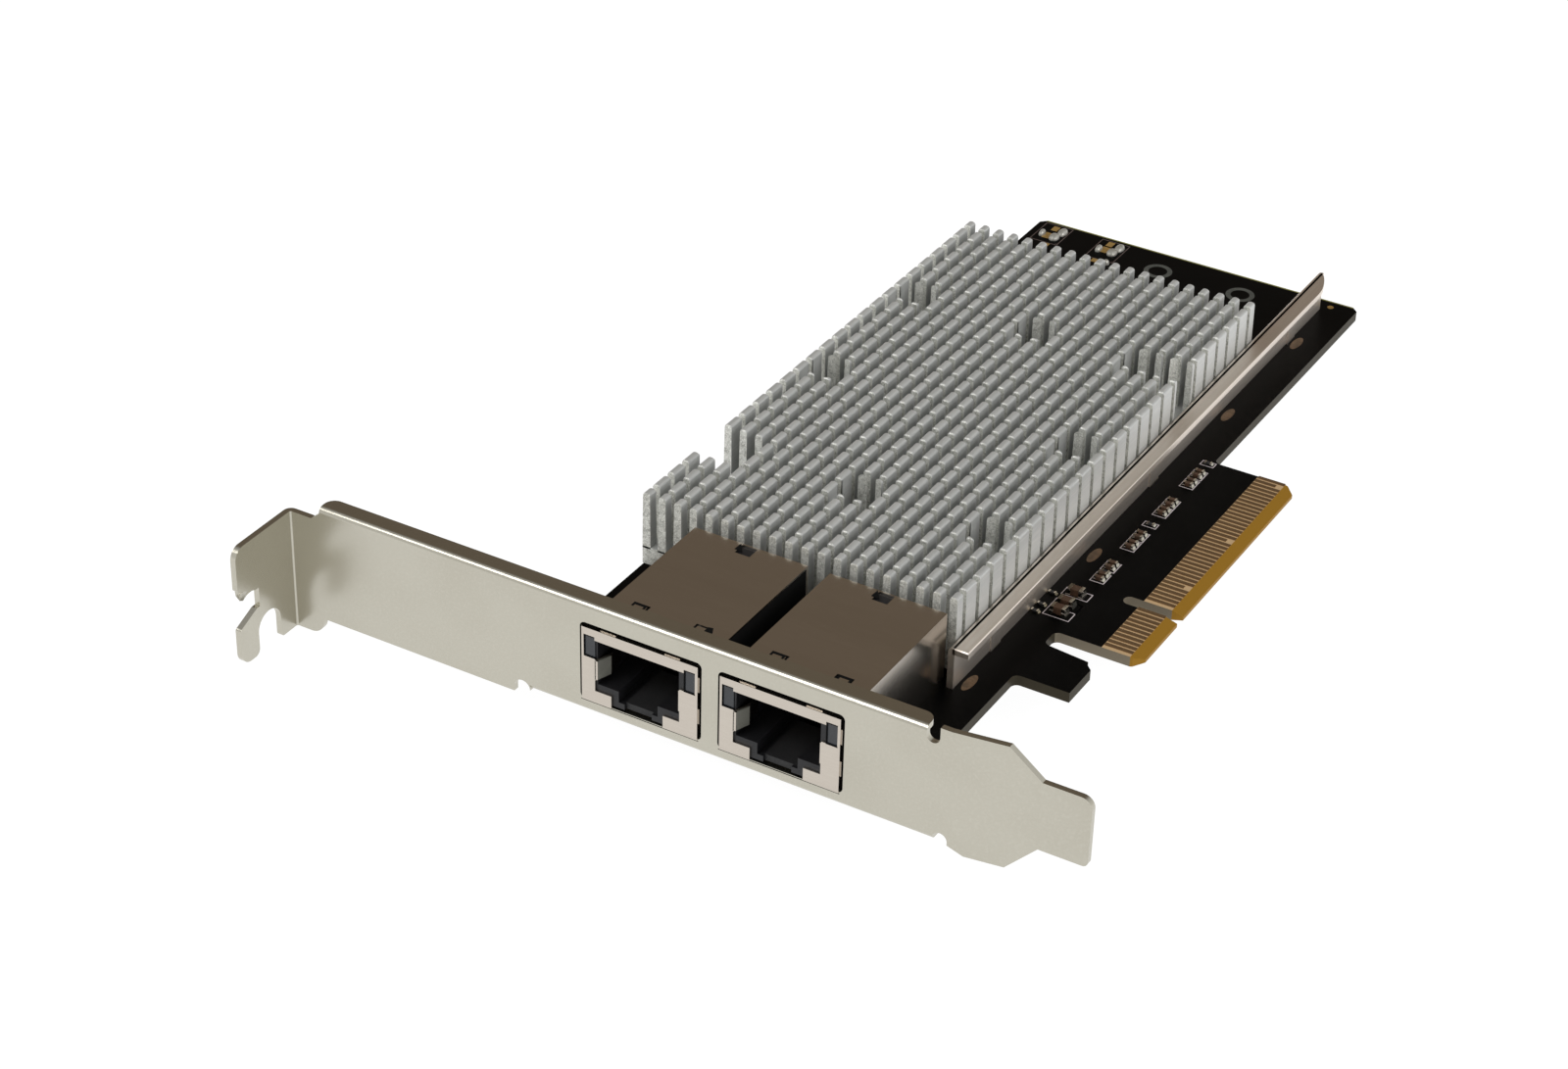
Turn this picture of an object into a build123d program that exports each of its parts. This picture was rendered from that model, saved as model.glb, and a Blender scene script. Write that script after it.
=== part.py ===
from build123d import *
import math
import os

# Dual-port network interface card with a low-profile heat sink.
# X runs along the bracket from the screw tab to the tongue.
# Y runs from the bracket into the card, and Z is up from the component side.
# Working heights count from the underside of the bracket's foot.

# Bracket sheet and overall size
SHEET = 0.86
BRACKET_LENGTH = 120.02
BRACKET_WIDTH = 18.42
FOOT_RISE = 1.04
BEND_INSIDE = 0.3
BEND_OUTSIDE = 0.95

# Screw tab at the near end of the bracket
TAB_DEPTH = 11.95
TAB_TOP = 14.8
TAB_BOTTOM = -3.7
TAB_CORNER = 1.0
TAB_UPPER_CORNER = 1.8
LIP_RUN = 3.0
LIP_DROP = 2.7
LIP_SHAPE = ((0.18, 0.41), (0.43, 0.87), (0.66, 1.0), (0.95, 0.85))
SLOT_HEIGHT = 3.0
SLOT_MOUTH = 6.2
SLOT_CENTRE = 5.2
SLOT_FLOOR = 7.6
SLOT_THROAT = 8.3
SLOT_CORNER = 1.0
ARM_WIDTH = 3.75
ARM_CORNER = 1.9
ARCH_TOP = 2.0
ARCH_WIDTH = 4.8
LOBE_REACH = 5.5
LOBE_CORNER = 2.2
SHOULDER_REACH = 3.6
SHOULDER_CORNER = 1.4

# Flange folded along the upper edge
FLANGE_START = 5.7
FLANGE_STOP = 22.02
FLANGE_TOP = 16.9
FLANGE_DEPTH = 2.9
FLANGE_CORNER = 1.6

# Foot folded under the board, with its two ears
FOOT_FROM_BOARD = 1.8
FOOT_BEYOND_BOARD = 6.35
FOOT_DEPTH = 3.4
EAR_WIDTH = 6.6
EAR_DEPTH = 10.0
EAR_CORNER = 1.5

# Relief notches beside the folds
FOOT_RELIEF_WIDTH = 2.5
FOOT_RELIEF_TOP = 1.1
FAR_RELIEF_WIDTH = 2.1
FAR_RELIEF_TOP = 1.5
FAR_RELIEF_RUN = 2.2
FLANGE_RELIEF_WIDTH = 1.9
FLANGE_RELIEF_FLOOR = 14.8

# Far end of the bracket, bent back to the tongue
TONGUE_LENGTH = 6.82
BEND_BACK_RUN = 11.7
TONGUE_SETBACK = 1.75
TONGUE_WIDTH = 10.19
TONGUE_LOWER_CUT = 4.0
TONGUE_LOWER_RUN = 4.1
TONGUE_UPPER_RUN = 4.4
TONGUE_CORNER = 1.6

# Windows for the two jacks
WINDOW_CLEARANCE = 0.42
WINDOW_LOWER = 2.0
WINDOW_UPPER = 14.0
WINDOW_CORNER = 0.8

# Circuit board
BOARD_THICKNESS = 1.57
BOARD_FRONT = 1.2
BOARD_LENGTH = 150.7
BOARD_LEFT = 37.5
BOARD_RIGHT = 93.15
BOARD_CORNER = 1.0

# Card edge with its key notch and retention hook
EDGE_OUT = 12.95
EDGE_NEAR = 46.2
EDGE_LENGTH = 51.3
EDGE_CHAMFER = 1.3
BEVEL_LENGTH = 1.7
BEVEL_DEPTH = 0.5
KEY_WIDTH = 1.9
KEY_FROM_NEAR = 12.15
KEY_DEPTH = 8.5
HOOK_OUT = 8.15
HOOK_NEAR = 34.4
HOOK_WIDTH = 7.7
HOOK_CHAMFER = 1.5
HOOK_SLOT_OUT = 0.05
HOOK_SLOT_SLANT = 7.0

# Gold contacts on both faces of the card edge
CONTACT_PITCH = 1.0
CONTACT_WIDTH = 0.7
CONTACT_LENGTH = 4.2
CONTACT_SHORT = 3.2
CONTACT_FILM = 0.05
CONTACTS_BEFORE_KEY = 11
CONTACTS_AFTER_KEY = 38
CONTACT_NEAR_MARGIN = 0.65
SHORT_CONTACTS = (17, 31, 48)

# Network jacks
JACK_LEFT = 47.7
JACK_PITCH = 20.9
JACK_WIDTH = 17.6
JACK_HEIGHT = 11.07
JACK_FRONT = -0.3
JACK_LENGTH = 27.8
SHELL_WALL = 0.25
SHELL_FIT = 0.05
SHELL_LIP = 0.33

# Port opening in each jack
PORT_WIDTH = 12.85
PORT_OFF_MIDDLE = -0.325
PORT_TOP = 11.9
PORT_STEP = 4.0
PORT_LATCH_WIDTH = 7.85
PORT_DEPTH = 11.5
PORT_WALL = 0.25
LEDGE_TOP = 5.0
LEDGE_WIDTH = 3.2
BLOCK_TOP = 3.3
BLOCK_WIDTH = 1.9
HOUSING_LENGTH = 13.0

# Indicator windows and their light pipes
PIPE_FROM_LEFT = 0.4
PIPE_WIDTH = 1.6
PIPE_LOWER = 9.1
PIPE_UPPER = 12.4
PIPE_FIT = 0.03
PIPE_RECESS = 0.15

# Wires in the port
WIRE_COUNT = 8
WIRE_PITCH = 1.02
WIRE_WIDTH = 0.46
WIRE_THICKNESS = 0.3
WIRE_ROOT_START = 1.6
WIRE_ROOT_LENGTH = 1.6
WIRE_SLOPE_END = 9.6
WIRE_DROP = 3.2
WIRE_TIP = 1.1

# Springs and cut-outs of the jack shell
SPRING_SHEET = 0.15
SPRING_WIDTH = 2.3
SPRING_LENGTH = 3.6
SPRING_RISE = 0.36
SPRING_FROM_SIDE = 2.8
SIDE_SPRING_LOWER = 4.6
SIDE_SPRING_UPPER = 9.5
SIDE_SPRING_RISE = 0.3
LEAF_LOWER = 5.7
LEAF_UPPER = 8.9
LEAF_REACH = 0.85
LEAF_CREST = 2.6
LEAF_LENGTH = 5.4
LATCH_SLOT_WIDTH = 2.5
LATCH_SLOT_LENGTH = 1.5
LATCH_SLOT_LINE = 0.35
LATCH_SLOT_START = 6.6
REAR_SLOT_WIDTH = 2.3
REAR_SLOT_LENGTH = 2.4
PEG_WIDTH = 1.3
PEG_FROM_FRONT = 11.0
PEG_HOLE = 1.6

# Tails of the jack through the board
TAIL_COLUMNS = 5
TAIL_PITCH = 2.54
TAIL_ROW_PITCH = 2.8
TAIL_FROM_FRONT = 16.5
TAIL_SIZE = 0.5
TAIL_HOLE = 0.9
TAIL_STICK_OUT = 1.2

# Heat sink with pins
SINK_LEFT = 38.45
SINK_FRONT = 29.6
SINK_LENGTH = 93.8
SINK_GAP = 1.17
SINK_BASE = 2.8
PIN_HEIGHT = 8.6
PIN_COLUMNS = 20
PIN_PITCH = 2.491
PIN_ROOT = 1.15
PIN_TOP = 0.86
SAW_WIDTH = 0.88
SAW_PITCH = 3.7525
SAW_COUNT = 25
SAW_FIRST = 1.6
NOTCH_COLUMNS = 3
NOTCH_START = 12.3
NOTCH_LENGTH = 9.3
POCKETS = ((3, 9, 10), (3, 17, 18), (10, 1, 2), (10, 17, 18), (17, 1, 2), (17, 9, 10), (17, 16, 19))
POCKET_ROWS = 2

# Controller under the heat sink
CHIP_SIDE = 27.0
CHIP_HEIGHT = 0.9
PAD_OVERHANG = 1.0

# Spacers and screws of the heat sink
SPACER_INSET = 4.2
SPACER_OUTER = 5.0
SPACER_BORE = 2.9
SCREW_SHANK = 2.5
SCREW_HEAD = 4.6
SCREW_HEAD_HEIGHT = 1.5
SCREW_BITE = 2.0
SCREW_CLEARANCE = 0.3
THREAD_CLEARANCE = 0.1
SOCKET_WIDTH = 1.1
SOCKET_DEPTH = 0.7

# Screws that hold the board to the bracket's ears
EAR_SCREW_FROM_FRONT = 6.4
EAR_SCREW_STICK_OUT = 0.6

# Stiffener rail beside the heat sink
RAIL_SHEET = 0.95
RAIL_LEFT = 87.05
RAIL_START = 26.9
RAIL_END = 149.0
RAIL_HEIGHT = 6.27
RAIL_WIDTH = 2.85
RAIL_BEND = 1.0
RAIL_CUT_NEAR = 3.2
RAIL_CUT_FAR = 5.0
RAIL_TABS = 3
RAIL_TAB_WIDTH = 3.0
RAIL_TAB_INSET = 12.0
RAIL_TAB_REACH = 0.7
RAIL_TAB_CLEARANCE = 0.15

# Parts on the board, as places from the board's front left corner
COUPLING_SIZE = (1.35, 0.68, 0.65)
COUPLING_X = 55.1
COUPLING_PAIRS = (60.05, 63.3, 69.6, 72.4, 79.95, 82.6, 89.0, 91.85)
COUPLING_SPACING = 1.15
BULK_SIZE = (2.2, 1.3, 1.15)
BULK_X = 54.1
BULK_Y = (49.3, 51.5, 54.5)
RESISTOR_SIZE = (1.1, 0.55, 0.4)
RESISTOR_PLACES = ((55.1, 61.55), (55.1, 76.0), (55.1, 95.45), (51.2, 47.8), (51.2, 49.7), (51.2, 53.0))
INDUCTOR_SIDE = 6.4
INDUCTOR_HEIGHT = 2.9
INDUCTOR_X = (10.0, 26.0)
INDUCTOR_BEHIND_SINK = 3.6
REGULATOR_SIZE = (4.9, 3.9, 1.5)
REGULATOR_X = 18.0
FILTER_SIZE = (3.2, 1.6, 1.4)
FILTER_X = (33.0, 37.4, 41.8, 46.2)
FILTER_BEHIND_SINK = 5.6
MEMORY_SIZE = (4.9, 3.9, 1.5)
MEMORY_LEAD_PITCH = 1.27
MEMORY_LEAD_WIDTH = 0.42
MEMORY_LEAD_REACH = 1.05
MEMORY_PLACE = (4.6, 10.6)
MEMORY_LIFT = 0.12
CRYSTAL_SIZE = (3.2, 5.0, 1.1)
CRYSTAL_PLACE = (4.6, 19.5)

# How many flats stand for a round fastener and for a round tail hole
FASTENER_SIDES = 8
TAIL_HOLE_SIDES = 6

# Heights and places that follow from the sizes above
LOWER_EDGE = -FOOT_RISE
TONGUE_START = BRACKET_LENGTH - TONGUE_LENGTH
BEND_BACK_START = TONGUE_START - BEND_BACK_RUN
FLANGE_END = BRACKET_LENGTH - FLANGE_STOP
FOOT_START = BOARD_LEFT + FOOT_FROM_BOARD
FOOT_END = BOARD_RIGHT + FOOT_BEYOND_BOARD
EDGE_REACH = BOARD_RIGHT + EDGE_OUT
HOOK_REACH = BOARD_RIGHT + HOOK_OUT
HOOK_SLOT_CLOSED = BOARD_RIGHT + HOOK_SLOT_OUT
UPPER_EDGE = LOWER_EDGE + BRACKET_WIDTH
BOARD_BOTTOM = SHEET
BOARD_TOP = BOARD_BOTTOM + BOARD_THICKNESS
BOARD_BACK = BOARD_FRONT + BOARD_LENGTH
JACK_TOP = BOARD_TOP + JACK_HEIGHT
JACK_BACK = JACK_FRONT + JACK_LENGTH
JACK_LEFTS = (JACK_LEFT, JACK_LEFT + JACK_PITCH)
PORT_MIDDLE = JACK_WIDTH / 2 + PORT_OFF_MIDDLE
PORT_LEFT = PORT_MIDDLE - PORT_WIDTH / 2
PORT_RIGHT = PORT_MIDDLE + PORT_WIDTH / 2
SINK_BOTTOM = BOARD_TOP + SINK_GAP
SINK_FLOOR = SINK_BOTTOM + SINK_BASE
SINK_TOP = SINK_FLOOR + PIN_HEIGHT
SINK_WIDTH = PIN_PITCH * (PIN_COLUMNS - 1) + PIN_TOP
SINK_RIGHT = SINK_LEFT + SINK_WIDTH
SINK_BACK = SINK_FRONT + SINK_LENGTH
INDUCTOR_Y = SINK_BACK + INDUCTOR_BEHIND_SINK + INDUCTOR_SIDE / 2 - BOARD_FRONT
FILTER_Y = SINK_BACK + FILTER_BEHIND_SINK + FILTER_SIZE[1] / 2 - BOARD_FRONT
TONGUE_LOWER = (LOWER_EDGE + UPPER_EDGE - TONGUE_WIDTH) / 2
TONGUE_UPPER = TONGUE_LOWER + TONGUE_WIDTH
RAIL_TOP = BOARD_TOP + RAIL_HEIGHT
HOOK_FAR = HOOK_NEAR + HOOK_WIDTH
KEY_CENTRE = EDGE_NEAR + KEY_FROM_NEAR
MARGIN = 5.0

# The origin is under the middle of the whole card
ORIGIN = (
    BRACKET_LENGTH / 2,
    (BOARD_BACK - TAB_DEPTH) / 2,
    TAB_BOTTOM,
)


# Common helpers
def block(x0, x1, y0, y1, z0, z1):
    """A box between two corners."""
    size = Box(x1 - x0, y1 - y0, z1 - z0)
    return Pos((x0 + x1) / 2, (y0 + y1) / 2, (z0 + z1) / 2) * size


def post(x, y, z0, z1, diameter, sides=FASTENER_SIDES):
    """An upright round bar or hole as a regular prism whose flats touch the circle."""
    radius = diameter / 2 / math.cos(math.pi / sides)
    outline = Pos(x, y, z0) * RegularPolygon(radius, sides)
    return extrude(outline, z1 - z0, dir=(0, 0, 1))


def front_panel(points, y0, y1):
    """A prism whose outline is given as X and Z, from y0 to y1."""
    outline = Polyline(*[(x, y0, z) for x, z in points], close=True)
    return extrude(make_face(outline), y1 - y0, dir=(0, 1, 0))


def side_panel(points, x0, x1):
    """A prism whose outline is given as Y and Z, from x0 to x1."""
    outline = Polyline(*[(x0, y, z) for y, z in points], close=True)
    return extrude(make_face(outline), x1 - x0, dir=(1, 0, 0))


def plan_panel(points, z0, z1):
    """A prism whose outline is given as X and Y, from z0 to z1."""
    outline = Polyline(*[(x, y, z0) for x, y in points], close=True)
    return extrude(make_face(outline), z1 - z0, dir=(0, 0, 1))


def edges_at(shape, axis, first, second):
    """Edges along one axis whose other two coordinates match."""
    found = []
    for edge in shape.edges().filter_by(axis):
        middle = edge.center()
        if axis == Axis.X:
            place = (middle.Y, middle.Z)
        elif axis == Axis.Y:
            place = (middle.X, middle.Z)
        else:
            place = (middle.X, middle.Y)
        if math.dist(place, (first, second)) < 0.01:
            found.append(edge)
    return found


def rounded(shape, axis, corners):
    """Round edges along one axis, each given as two coordinates and a radius."""
    for first, second, radius in corners:
        shape = fillet(edges_at(shape, axis, first, second), radius)
    return shape


def save(name, shapes):
    """Write the solids of one sub-part about the part's origin."""
    moved = [Pos(-ORIGIN[0], -ORIGIN[1], -ORIGIN[2]) * shape for shape in shapes]
    solids = []
    for shape in moved:
        solids.extend(shape.solids())
    result = solids[0] if len(solids) == 1 else Compound(children=solids)
    result.label = name
    export_step(result, f"parts/{name}.step")


# Bracket
def bracket_strip():
    """The folded sheet seen from above, as tall as the whole bracket."""
    angle = math.atan2(TONGUE_SETBACK, TONGUE_START - BEND_BACK_START)
    step = SHEET * math.tan(angle / 2)
    points = [
        (SHEET, -TAB_DEPTH),
        (SHEET, 0),
        (BEND_BACK_START, 0),
        (TONGUE_START, TONGUE_SETBACK),
        (BRACKET_LENGTH, TONGUE_SETBACK),
        (BRACKET_LENGTH, TONGUE_SETBACK + SHEET),
        (TONGUE_START - step, TONGUE_SETBACK + SHEET),
        (BEND_BACK_START - step, SHEET),
        (0, SHEET),
        (0, -TAB_DEPTH),
    ]
    strip = plan_panel(points, TAB_BOTTOM, UPPER_EDGE)
    corners = [(SHEET, 0, BEND_INSIDE), (0, SHEET, BEND_INSIDE + SHEET)]
    return rounded(strip, Axis.Z, corners)


def tab_outline():
    """The screw tab with its open slot, seen along the bracket."""
    outer = -TAB_DEPTH
    arm_inner = outer + ARM_WIDTH
    leg_outer = arm_inner + ARCH_WIDTH
    half_mouth = SLOT_MOUTH / 2
    half_slot = SLOT_HEIGHT / 2
    points = [
        (SHEET, TAB_TOP),
        (outer, TAB_TOP),
        (outer, SLOT_CENTRE + half_mouth),
        (-SLOT_THROAT, SLOT_CENTRE + half_slot),
        (-SLOT_FLOOR, SLOT_CENTRE + half_slot),
        (-SLOT_FLOOR, SLOT_CENTRE - half_slot),
        (-SLOT_THROAT, SLOT_CENTRE - half_slot),
        (outer, SLOT_CENTRE - half_mouth),
        (outer, TAB_BOTTOM),
        (arm_inner, TAB_BOTTOM),
        (arm_inner, ARCH_TOP),
        (leg_outer, ARCH_TOP),
        (leg_outer, TAB_BOTTOM),
        (SHEET, TAB_BOTTOM),
    ]
    tab = side_panel(points, 0, SHEET + BEND_INSIDE)
    corners = [
        (outer, TAB_TOP, TAB_UPPER_CORNER),
        (outer, SLOT_CENTRE + half_mouth, TAB_CORNER / 2),
        (outer, SLOT_CENTRE - half_mouth, TAB_CORNER / 2),
        (outer, TAB_BOTTOM, ARM_CORNER),
        (arm_inner, TAB_BOTTOM, TAB_CORNER),
        (arm_inner, ARCH_TOP, ARCH_WIDTH / 2 - 0.01),
        (leg_outer, ARCH_TOP, ARCH_WIDTH / 2 - 0.01),
        (leg_outer, TAB_BOTTOM, TAB_CORNER / 2),
    ]
    return rounded(tab, Axis.X, corners) + coined_lip()


def coined_lip():
    """The lip pressed outwards above the mouth of the slot, which leads the screw in."""
    outer = -TAB_DEPTH
    start = SLOT_CENTRE + SLOT_MOUTH / 2
    throat = (-SLOT_THROAT, SLOT_CENTRE + SLOT_HEIGHT / 2)
    slope = (throat[1] - start) / (throat[0] - outer)
    root = [
        (-SLOT_THROAT, TAB_TOP / 2 + start / 2),
        (outer, TAB_TOP / 2 + start / 2),
    ]
    rim = [(outer + run * LIP_RUN, start - drop * LIP_DROP) for run, drop in LIP_SHAPE]
    mouth = [(y, start + slope * (y - outer)) for y, z in rim]
    outside = Polyline(*[(0, y, z) for y, z in root + rim + [throat]], close=True)
    inside = Polyline(*[(SHEET, y, z) for y, z in root + mouth + [throat]], close=True)
    return loft([make_face(outside), make_face(inside)], ruled=True)


def face_outline():
    """The upright face between its folds, seen from the front."""
    fold = FLANGE_TOP - BEND_OUTSIDE
    far_relief = FOOT_END + FAR_RELIEF_WIDTH
    points = [
        (0, TAB_BOTTOM),
        (LOBE_REACH, TAB_BOTTOM),
        (LOBE_REACH, LOWER_EDGE),
        (FOOT_START, LOWER_EDGE),
        (FOOT_START, BEND_OUTSIDE),
        (FOOT_END, BEND_OUTSIDE),
        (FOOT_END, LOWER_EDGE),
        (BRACKET_LENGTH, LOWER_EDGE),
        (BRACKET_LENGTH, UPPER_EDGE),
        (FLANGE_END, UPPER_EDGE),
        (FLANGE_END, fold),
        (FLANGE_START, fold),
        (FLANGE_START - SHOULDER_CORNER, TAB_TOP),
        (0, TAB_TOP),
    ]
    face = front_panel(points, 0, MARGIN)
    corners = [(LOBE_REACH, TAB_BOTTOM, LOBE_CORNER)]
    face = rounded(face, Axis.Y, corners)
    ramp = [
        (FOOT_END, LOWER_EDGE - MARGIN),
        (FOOT_END, FAR_RELIEF_TOP),
        (far_relief, FAR_RELIEF_TOP),
        (far_relief, 0),
        (far_relief + FAR_RELIEF_RUN, LOWER_EDGE),
        (far_relief + FAR_RELIEF_RUN, LOWER_EDGE - MARGIN),
    ]
    relief = front_panel(ramp, 0, MARGIN)
    corners = [
        (FOOT_END, FAR_RELIEF_TOP, FAR_RELIEF_WIDTH / 2 - 0.01),
        (far_relief, FAR_RELIEF_TOP, FAR_RELIEF_WIDTH / 2 - 0.01),
    ]
    face -= rounded(relief, Axis.Y, corners)
    near = FOOT_START - FOOT_RELIEF_WIDTH
    notch = block(near, FOOT_START, 0, MARGIN, LOWER_EDGE - MARGIN, FOOT_RELIEF_TOP)
    corners = [
        (near, FOOT_RELIEF_TOP, FOOT_RELIEF_WIDTH / 2 - 0.01),
        (FOOT_START, FOOT_RELIEF_TOP, FOOT_RELIEF_WIDTH / 2 - 0.01),
    ]
    face -= rounded(notch, Axis.Y, corners)
    return face - flange_relief()


def flange_relief():
    """The round notch where the flange stops."""
    start = FLANGE_END
    end = start + FLANGE_RELIEF_WIDTH
    notch = block(start, end, 0, MARGIN, FLANGE_RELIEF_FLOOR, UPPER_EDGE + MARGIN)
    corners = [
        (start, FLANGE_RELIEF_FLOOR, FLANGE_RELIEF_WIDTH / 2 - 0.01),
        (end, FLANGE_RELIEF_FLOOR, FLANGE_RELIEF_WIDTH / 2 - 0.01),
    ]
    return rounded(notch, Axis.Y, corners)


def tongue_cuts():
    """What is cut away above and below the tongue."""
    lower_shoulder = TONGUE_START - TONGUE_LOWER_RUN
    upper_shoulder = TONGUE_START - TONGUE_UPPER_RUN
    below = [
        (lower_shoulder, LOWER_EDGE),
        (TONGUE_START, TONGUE_LOWER),
        (BRACKET_LENGTH + MARGIN, TONGUE_LOWER),
        (BRACKET_LENGTH + MARGIN, LOWER_EDGE - MARGIN),
        (lower_shoulder, LOWER_EDGE - MARGIN),
    ]
    above = [
        (upper_shoulder, UPPER_EDGE),
        (TONGUE_START, TONGUE_UPPER),
        (BRACKET_LENGTH + MARGIN, TONGUE_UPPER),
        (BRACKET_LENGTH + MARGIN, UPPER_EDGE + MARGIN),
        (upper_shoulder, UPPER_EDGE + MARGIN),
    ]
    return front_panel(below, 0, MARGIN) + front_panel(above, 0, MARGIN)


def folded_flange():
    """The flange along the upper edge, rounded at its fold and its free corners."""
    points = [
        (0, FLANGE_TOP - BEND_OUTSIDE),
        (0, FLANGE_TOP),
        (FLANGE_DEPTH, FLANGE_TOP),
        (FLANGE_DEPTH, FLANGE_TOP - SHEET),
        (SHEET, FLANGE_TOP - SHEET),
        (SHEET, FLANGE_TOP - BEND_OUTSIDE),
    ]
    flange = side_panel(points, FLANGE_START, FLANGE_END)
    flange = rounded(flange, Axis.X, [(0, FLANGE_TOP, BEND_OUTSIDE - 0.01)])
    corners = [
        (FLANGE_START, FLANGE_DEPTH, FLANGE_CORNER),
        (FLANGE_END, FLANGE_DEPTH, FLANGE_CORNER),
    ]
    return rounded(flange, Axis.Z, corners)


def ear_centres():
    """Where the two ears hold the board, as X."""
    return (FOOT_START + EAR_WIDTH / 2, BOARD_RIGHT - EAR_WIDTH / 2)


def folded_foot():
    """The foot under the board with its two ears."""
    points = [
        (0, BEND_OUTSIDE),
        (0, 0),
        (FOOT_DEPTH, 0),
        (FOOT_DEPTH, SHEET),
        (SHEET, SHEET),
        (SHEET, BEND_OUTSIDE),
    ]
    foot = side_panel(points, FOOT_START, FOOT_END)
    foot = rounded(foot, Axis.X, [(0, 0, BEND_OUTSIDE - 0.01)])
    for x in ear_centres():
        left = x - EAR_WIDTH / 2
        right = x + EAR_WIDTH / 2
        ear = block(left, right, BEND_OUTSIDE, EAR_DEPTH, 0, SHEET)
        corners = [(left, EAR_DEPTH, EAR_CORNER), (right, EAR_DEPTH, EAR_CORNER)]
        foot += rounded(ear, Axis.Z, corners)
    for x in ear_centres():
        bore = SCREW_SHANK + THREAD_CLEARANCE
        foot -= post(x, EAR_SCREW_FROM_FRONT, -MARGIN, MARGIN, bore)
    return foot


def jack_window(left):
    """The window that one jack looks through."""
    x0 = left - WINDOW_CLEARANCE
    x1 = left + JACK_WIDTH + WINDOW_CLEARANCE
    window = block(x0, x1, -MARGIN, MARGIN, WINDOW_LOWER, WINDOW_UPPER)
    corners = []
    for x in (x0, x1):
        for z in (WINDOW_LOWER, WINDOW_UPPER):
            corners.append((x, z, WINDOW_CORNER))
    return rounded(window, Axis.Y, corners)


def bracket():
    """The whole folded bracket."""
    blank = face_outline() + tab_outline()
    sheet = bracket_strip() & blank
    sheet -= tongue_cuts()
    end = BRACKET_LENGTH
    corners = [(end, TONGUE_UPPER, TONGUE_CORNER), (end, TONGUE_LOWER, TONGUE_CORNER / 2)]
    sheet = rounded(sheet, Axis.Y, corners)
    sheet += folded_flange()
    sheet += folded_foot()
    for left in JACK_LEFTS:
        sheet -= jack_window(left)
    return sheet


# Circuit board
def board_outline():
    """The board's outline with card edge, key notch and hook."""
    edge_far = EDGE_NEAR + EDGE_LENGTH
    points = [
        (BOARD_LEFT, BOARD_FRONT),
        (BOARD_RIGHT, BOARD_FRONT),
        (BOARD_RIGHT, HOOK_NEAR),
        (HOOK_REACH, HOOK_NEAR),
        (HOOK_REACH, HOOK_FAR - HOOK_CHAMFER),
        (HOOK_REACH - HOOK_CHAMFER, HOOK_FAR),
        (HOOK_SLOT_CLOSED + HOOK_SLOT_SLANT, HOOK_FAR),
        (HOOK_SLOT_CLOSED, HOOK_FAR + HOOK_CHAMFER / 2),
        (HOOK_SLOT_CLOSED, EDGE_NEAR),
        (EDGE_REACH - EDGE_CHAMFER, EDGE_NEAR),
        (EDGE_REACH, EDGE_NEAR + EDGE_CHAMFER),
        (EDGE_REACH, edge_far - EDGE_CHAMFER),
        (EDGE_REACH - EDGE_CHAMFER, edge_far),
        (BOARD_RIGHT, edge_far),
        (BOARD_RIGHT, BOARD_BACK),
        (BOARD_LEFT, BOARD_BACK),
    ]
    board = plan_panel(points, BOARD_BOTTOM, BOARD_TOP)
    corners = [
        (HOOK_SLOT_CLOSED, HOOK_FAR + HOOK_CHAMFER / 2, BOARD_CORNER),
        (HOOK_SLOT_CLOSED, EDGE_NEAR, BOARD_CORNER),
        (BOARD_RIGHT, edge_far, BOARD_CORNER),
        (BOARD_RIGHT, HOOK_NEAR, BOARD_CORNER),
    ]
    board = rounded(board, Axis.Z, corners)
    far_corners = edges_at(board, Axis.Z, BOARD_RIGHT, BOARD_BACK)
    far_corners += edges_at(board, Axis.Z, BOARD_LEFT, BOARD_BACK)
    return chamfer(far_corners, BOARD_CORNER)


def key_notch():
    """The notch that keys the card edge, with a round closed end."""
    closed = EDGE_REACH - KEY_DEPTH
    y0 = KEY_CENTRE - KEY_WIDTH / 2
    y1 = KEY_CENTRE + KEY_WIDTH / 2
    notch = block(closed, EDGE_REACH + MARGIN, y0, y1, -MARGIN, MARGIN)
    radius = KEY_WIDTH / 2 - 0.01
    return rounded(notch, Axis.Z, [(closed, y0, radius), (closed, y1, radius)])


def bevelled_section():
    """The board's section across the card edge, bevelled on both faces."""
    start = EDGE_REACH - BEVEL_LENGTH
    points = [
        (BOARD_LEFT - MARGIN, BOARD_TOP),
        (start, BOARD_TOP),
        (EDGE_REACH, BOARD_TOP - BEVEL_DEPTH),
        (EDGE_REACH, BOARD_BOTTOM + BEVEL_DEPTH),
        (start, BOARD_BOTTOM),
        (BOARD_LEFT - MARGIN, BOARD_BOTTOM),
    ]
    return front_panel(points, BOARD_FRONT - MARGIN, BOARD_BACK + MARGIN)


def tail_places(left):
    """Centres of one jack's tails, in two staggered rows."""
    places = []
    middle = left + JACK_WIDTH / 2
    for row in (0, 1):
        shift = (row - 0.5) * TAIL_PITCH / 2
        for column in range(TAIL_COLUMNS):
            x = middle + shift + (column - (TAIL_COLUMNS - 1) / 2) * TAIL_PITCH
            y = JACK_FRONT + TAIL_FROM_FRONT + row * TAIL_ROW_PITCH
            places.append((x, y))
    return places


def peg_places(left):
    """Centres of the two pegs in line with the shell's side walls."""
    y = JACK_FRONT + PEG_FROM_FRONT
    inset = SHELL_WALL / 2
    return ((left + inset, y), (left + JACK_WIDTH - inset, y))


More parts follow.
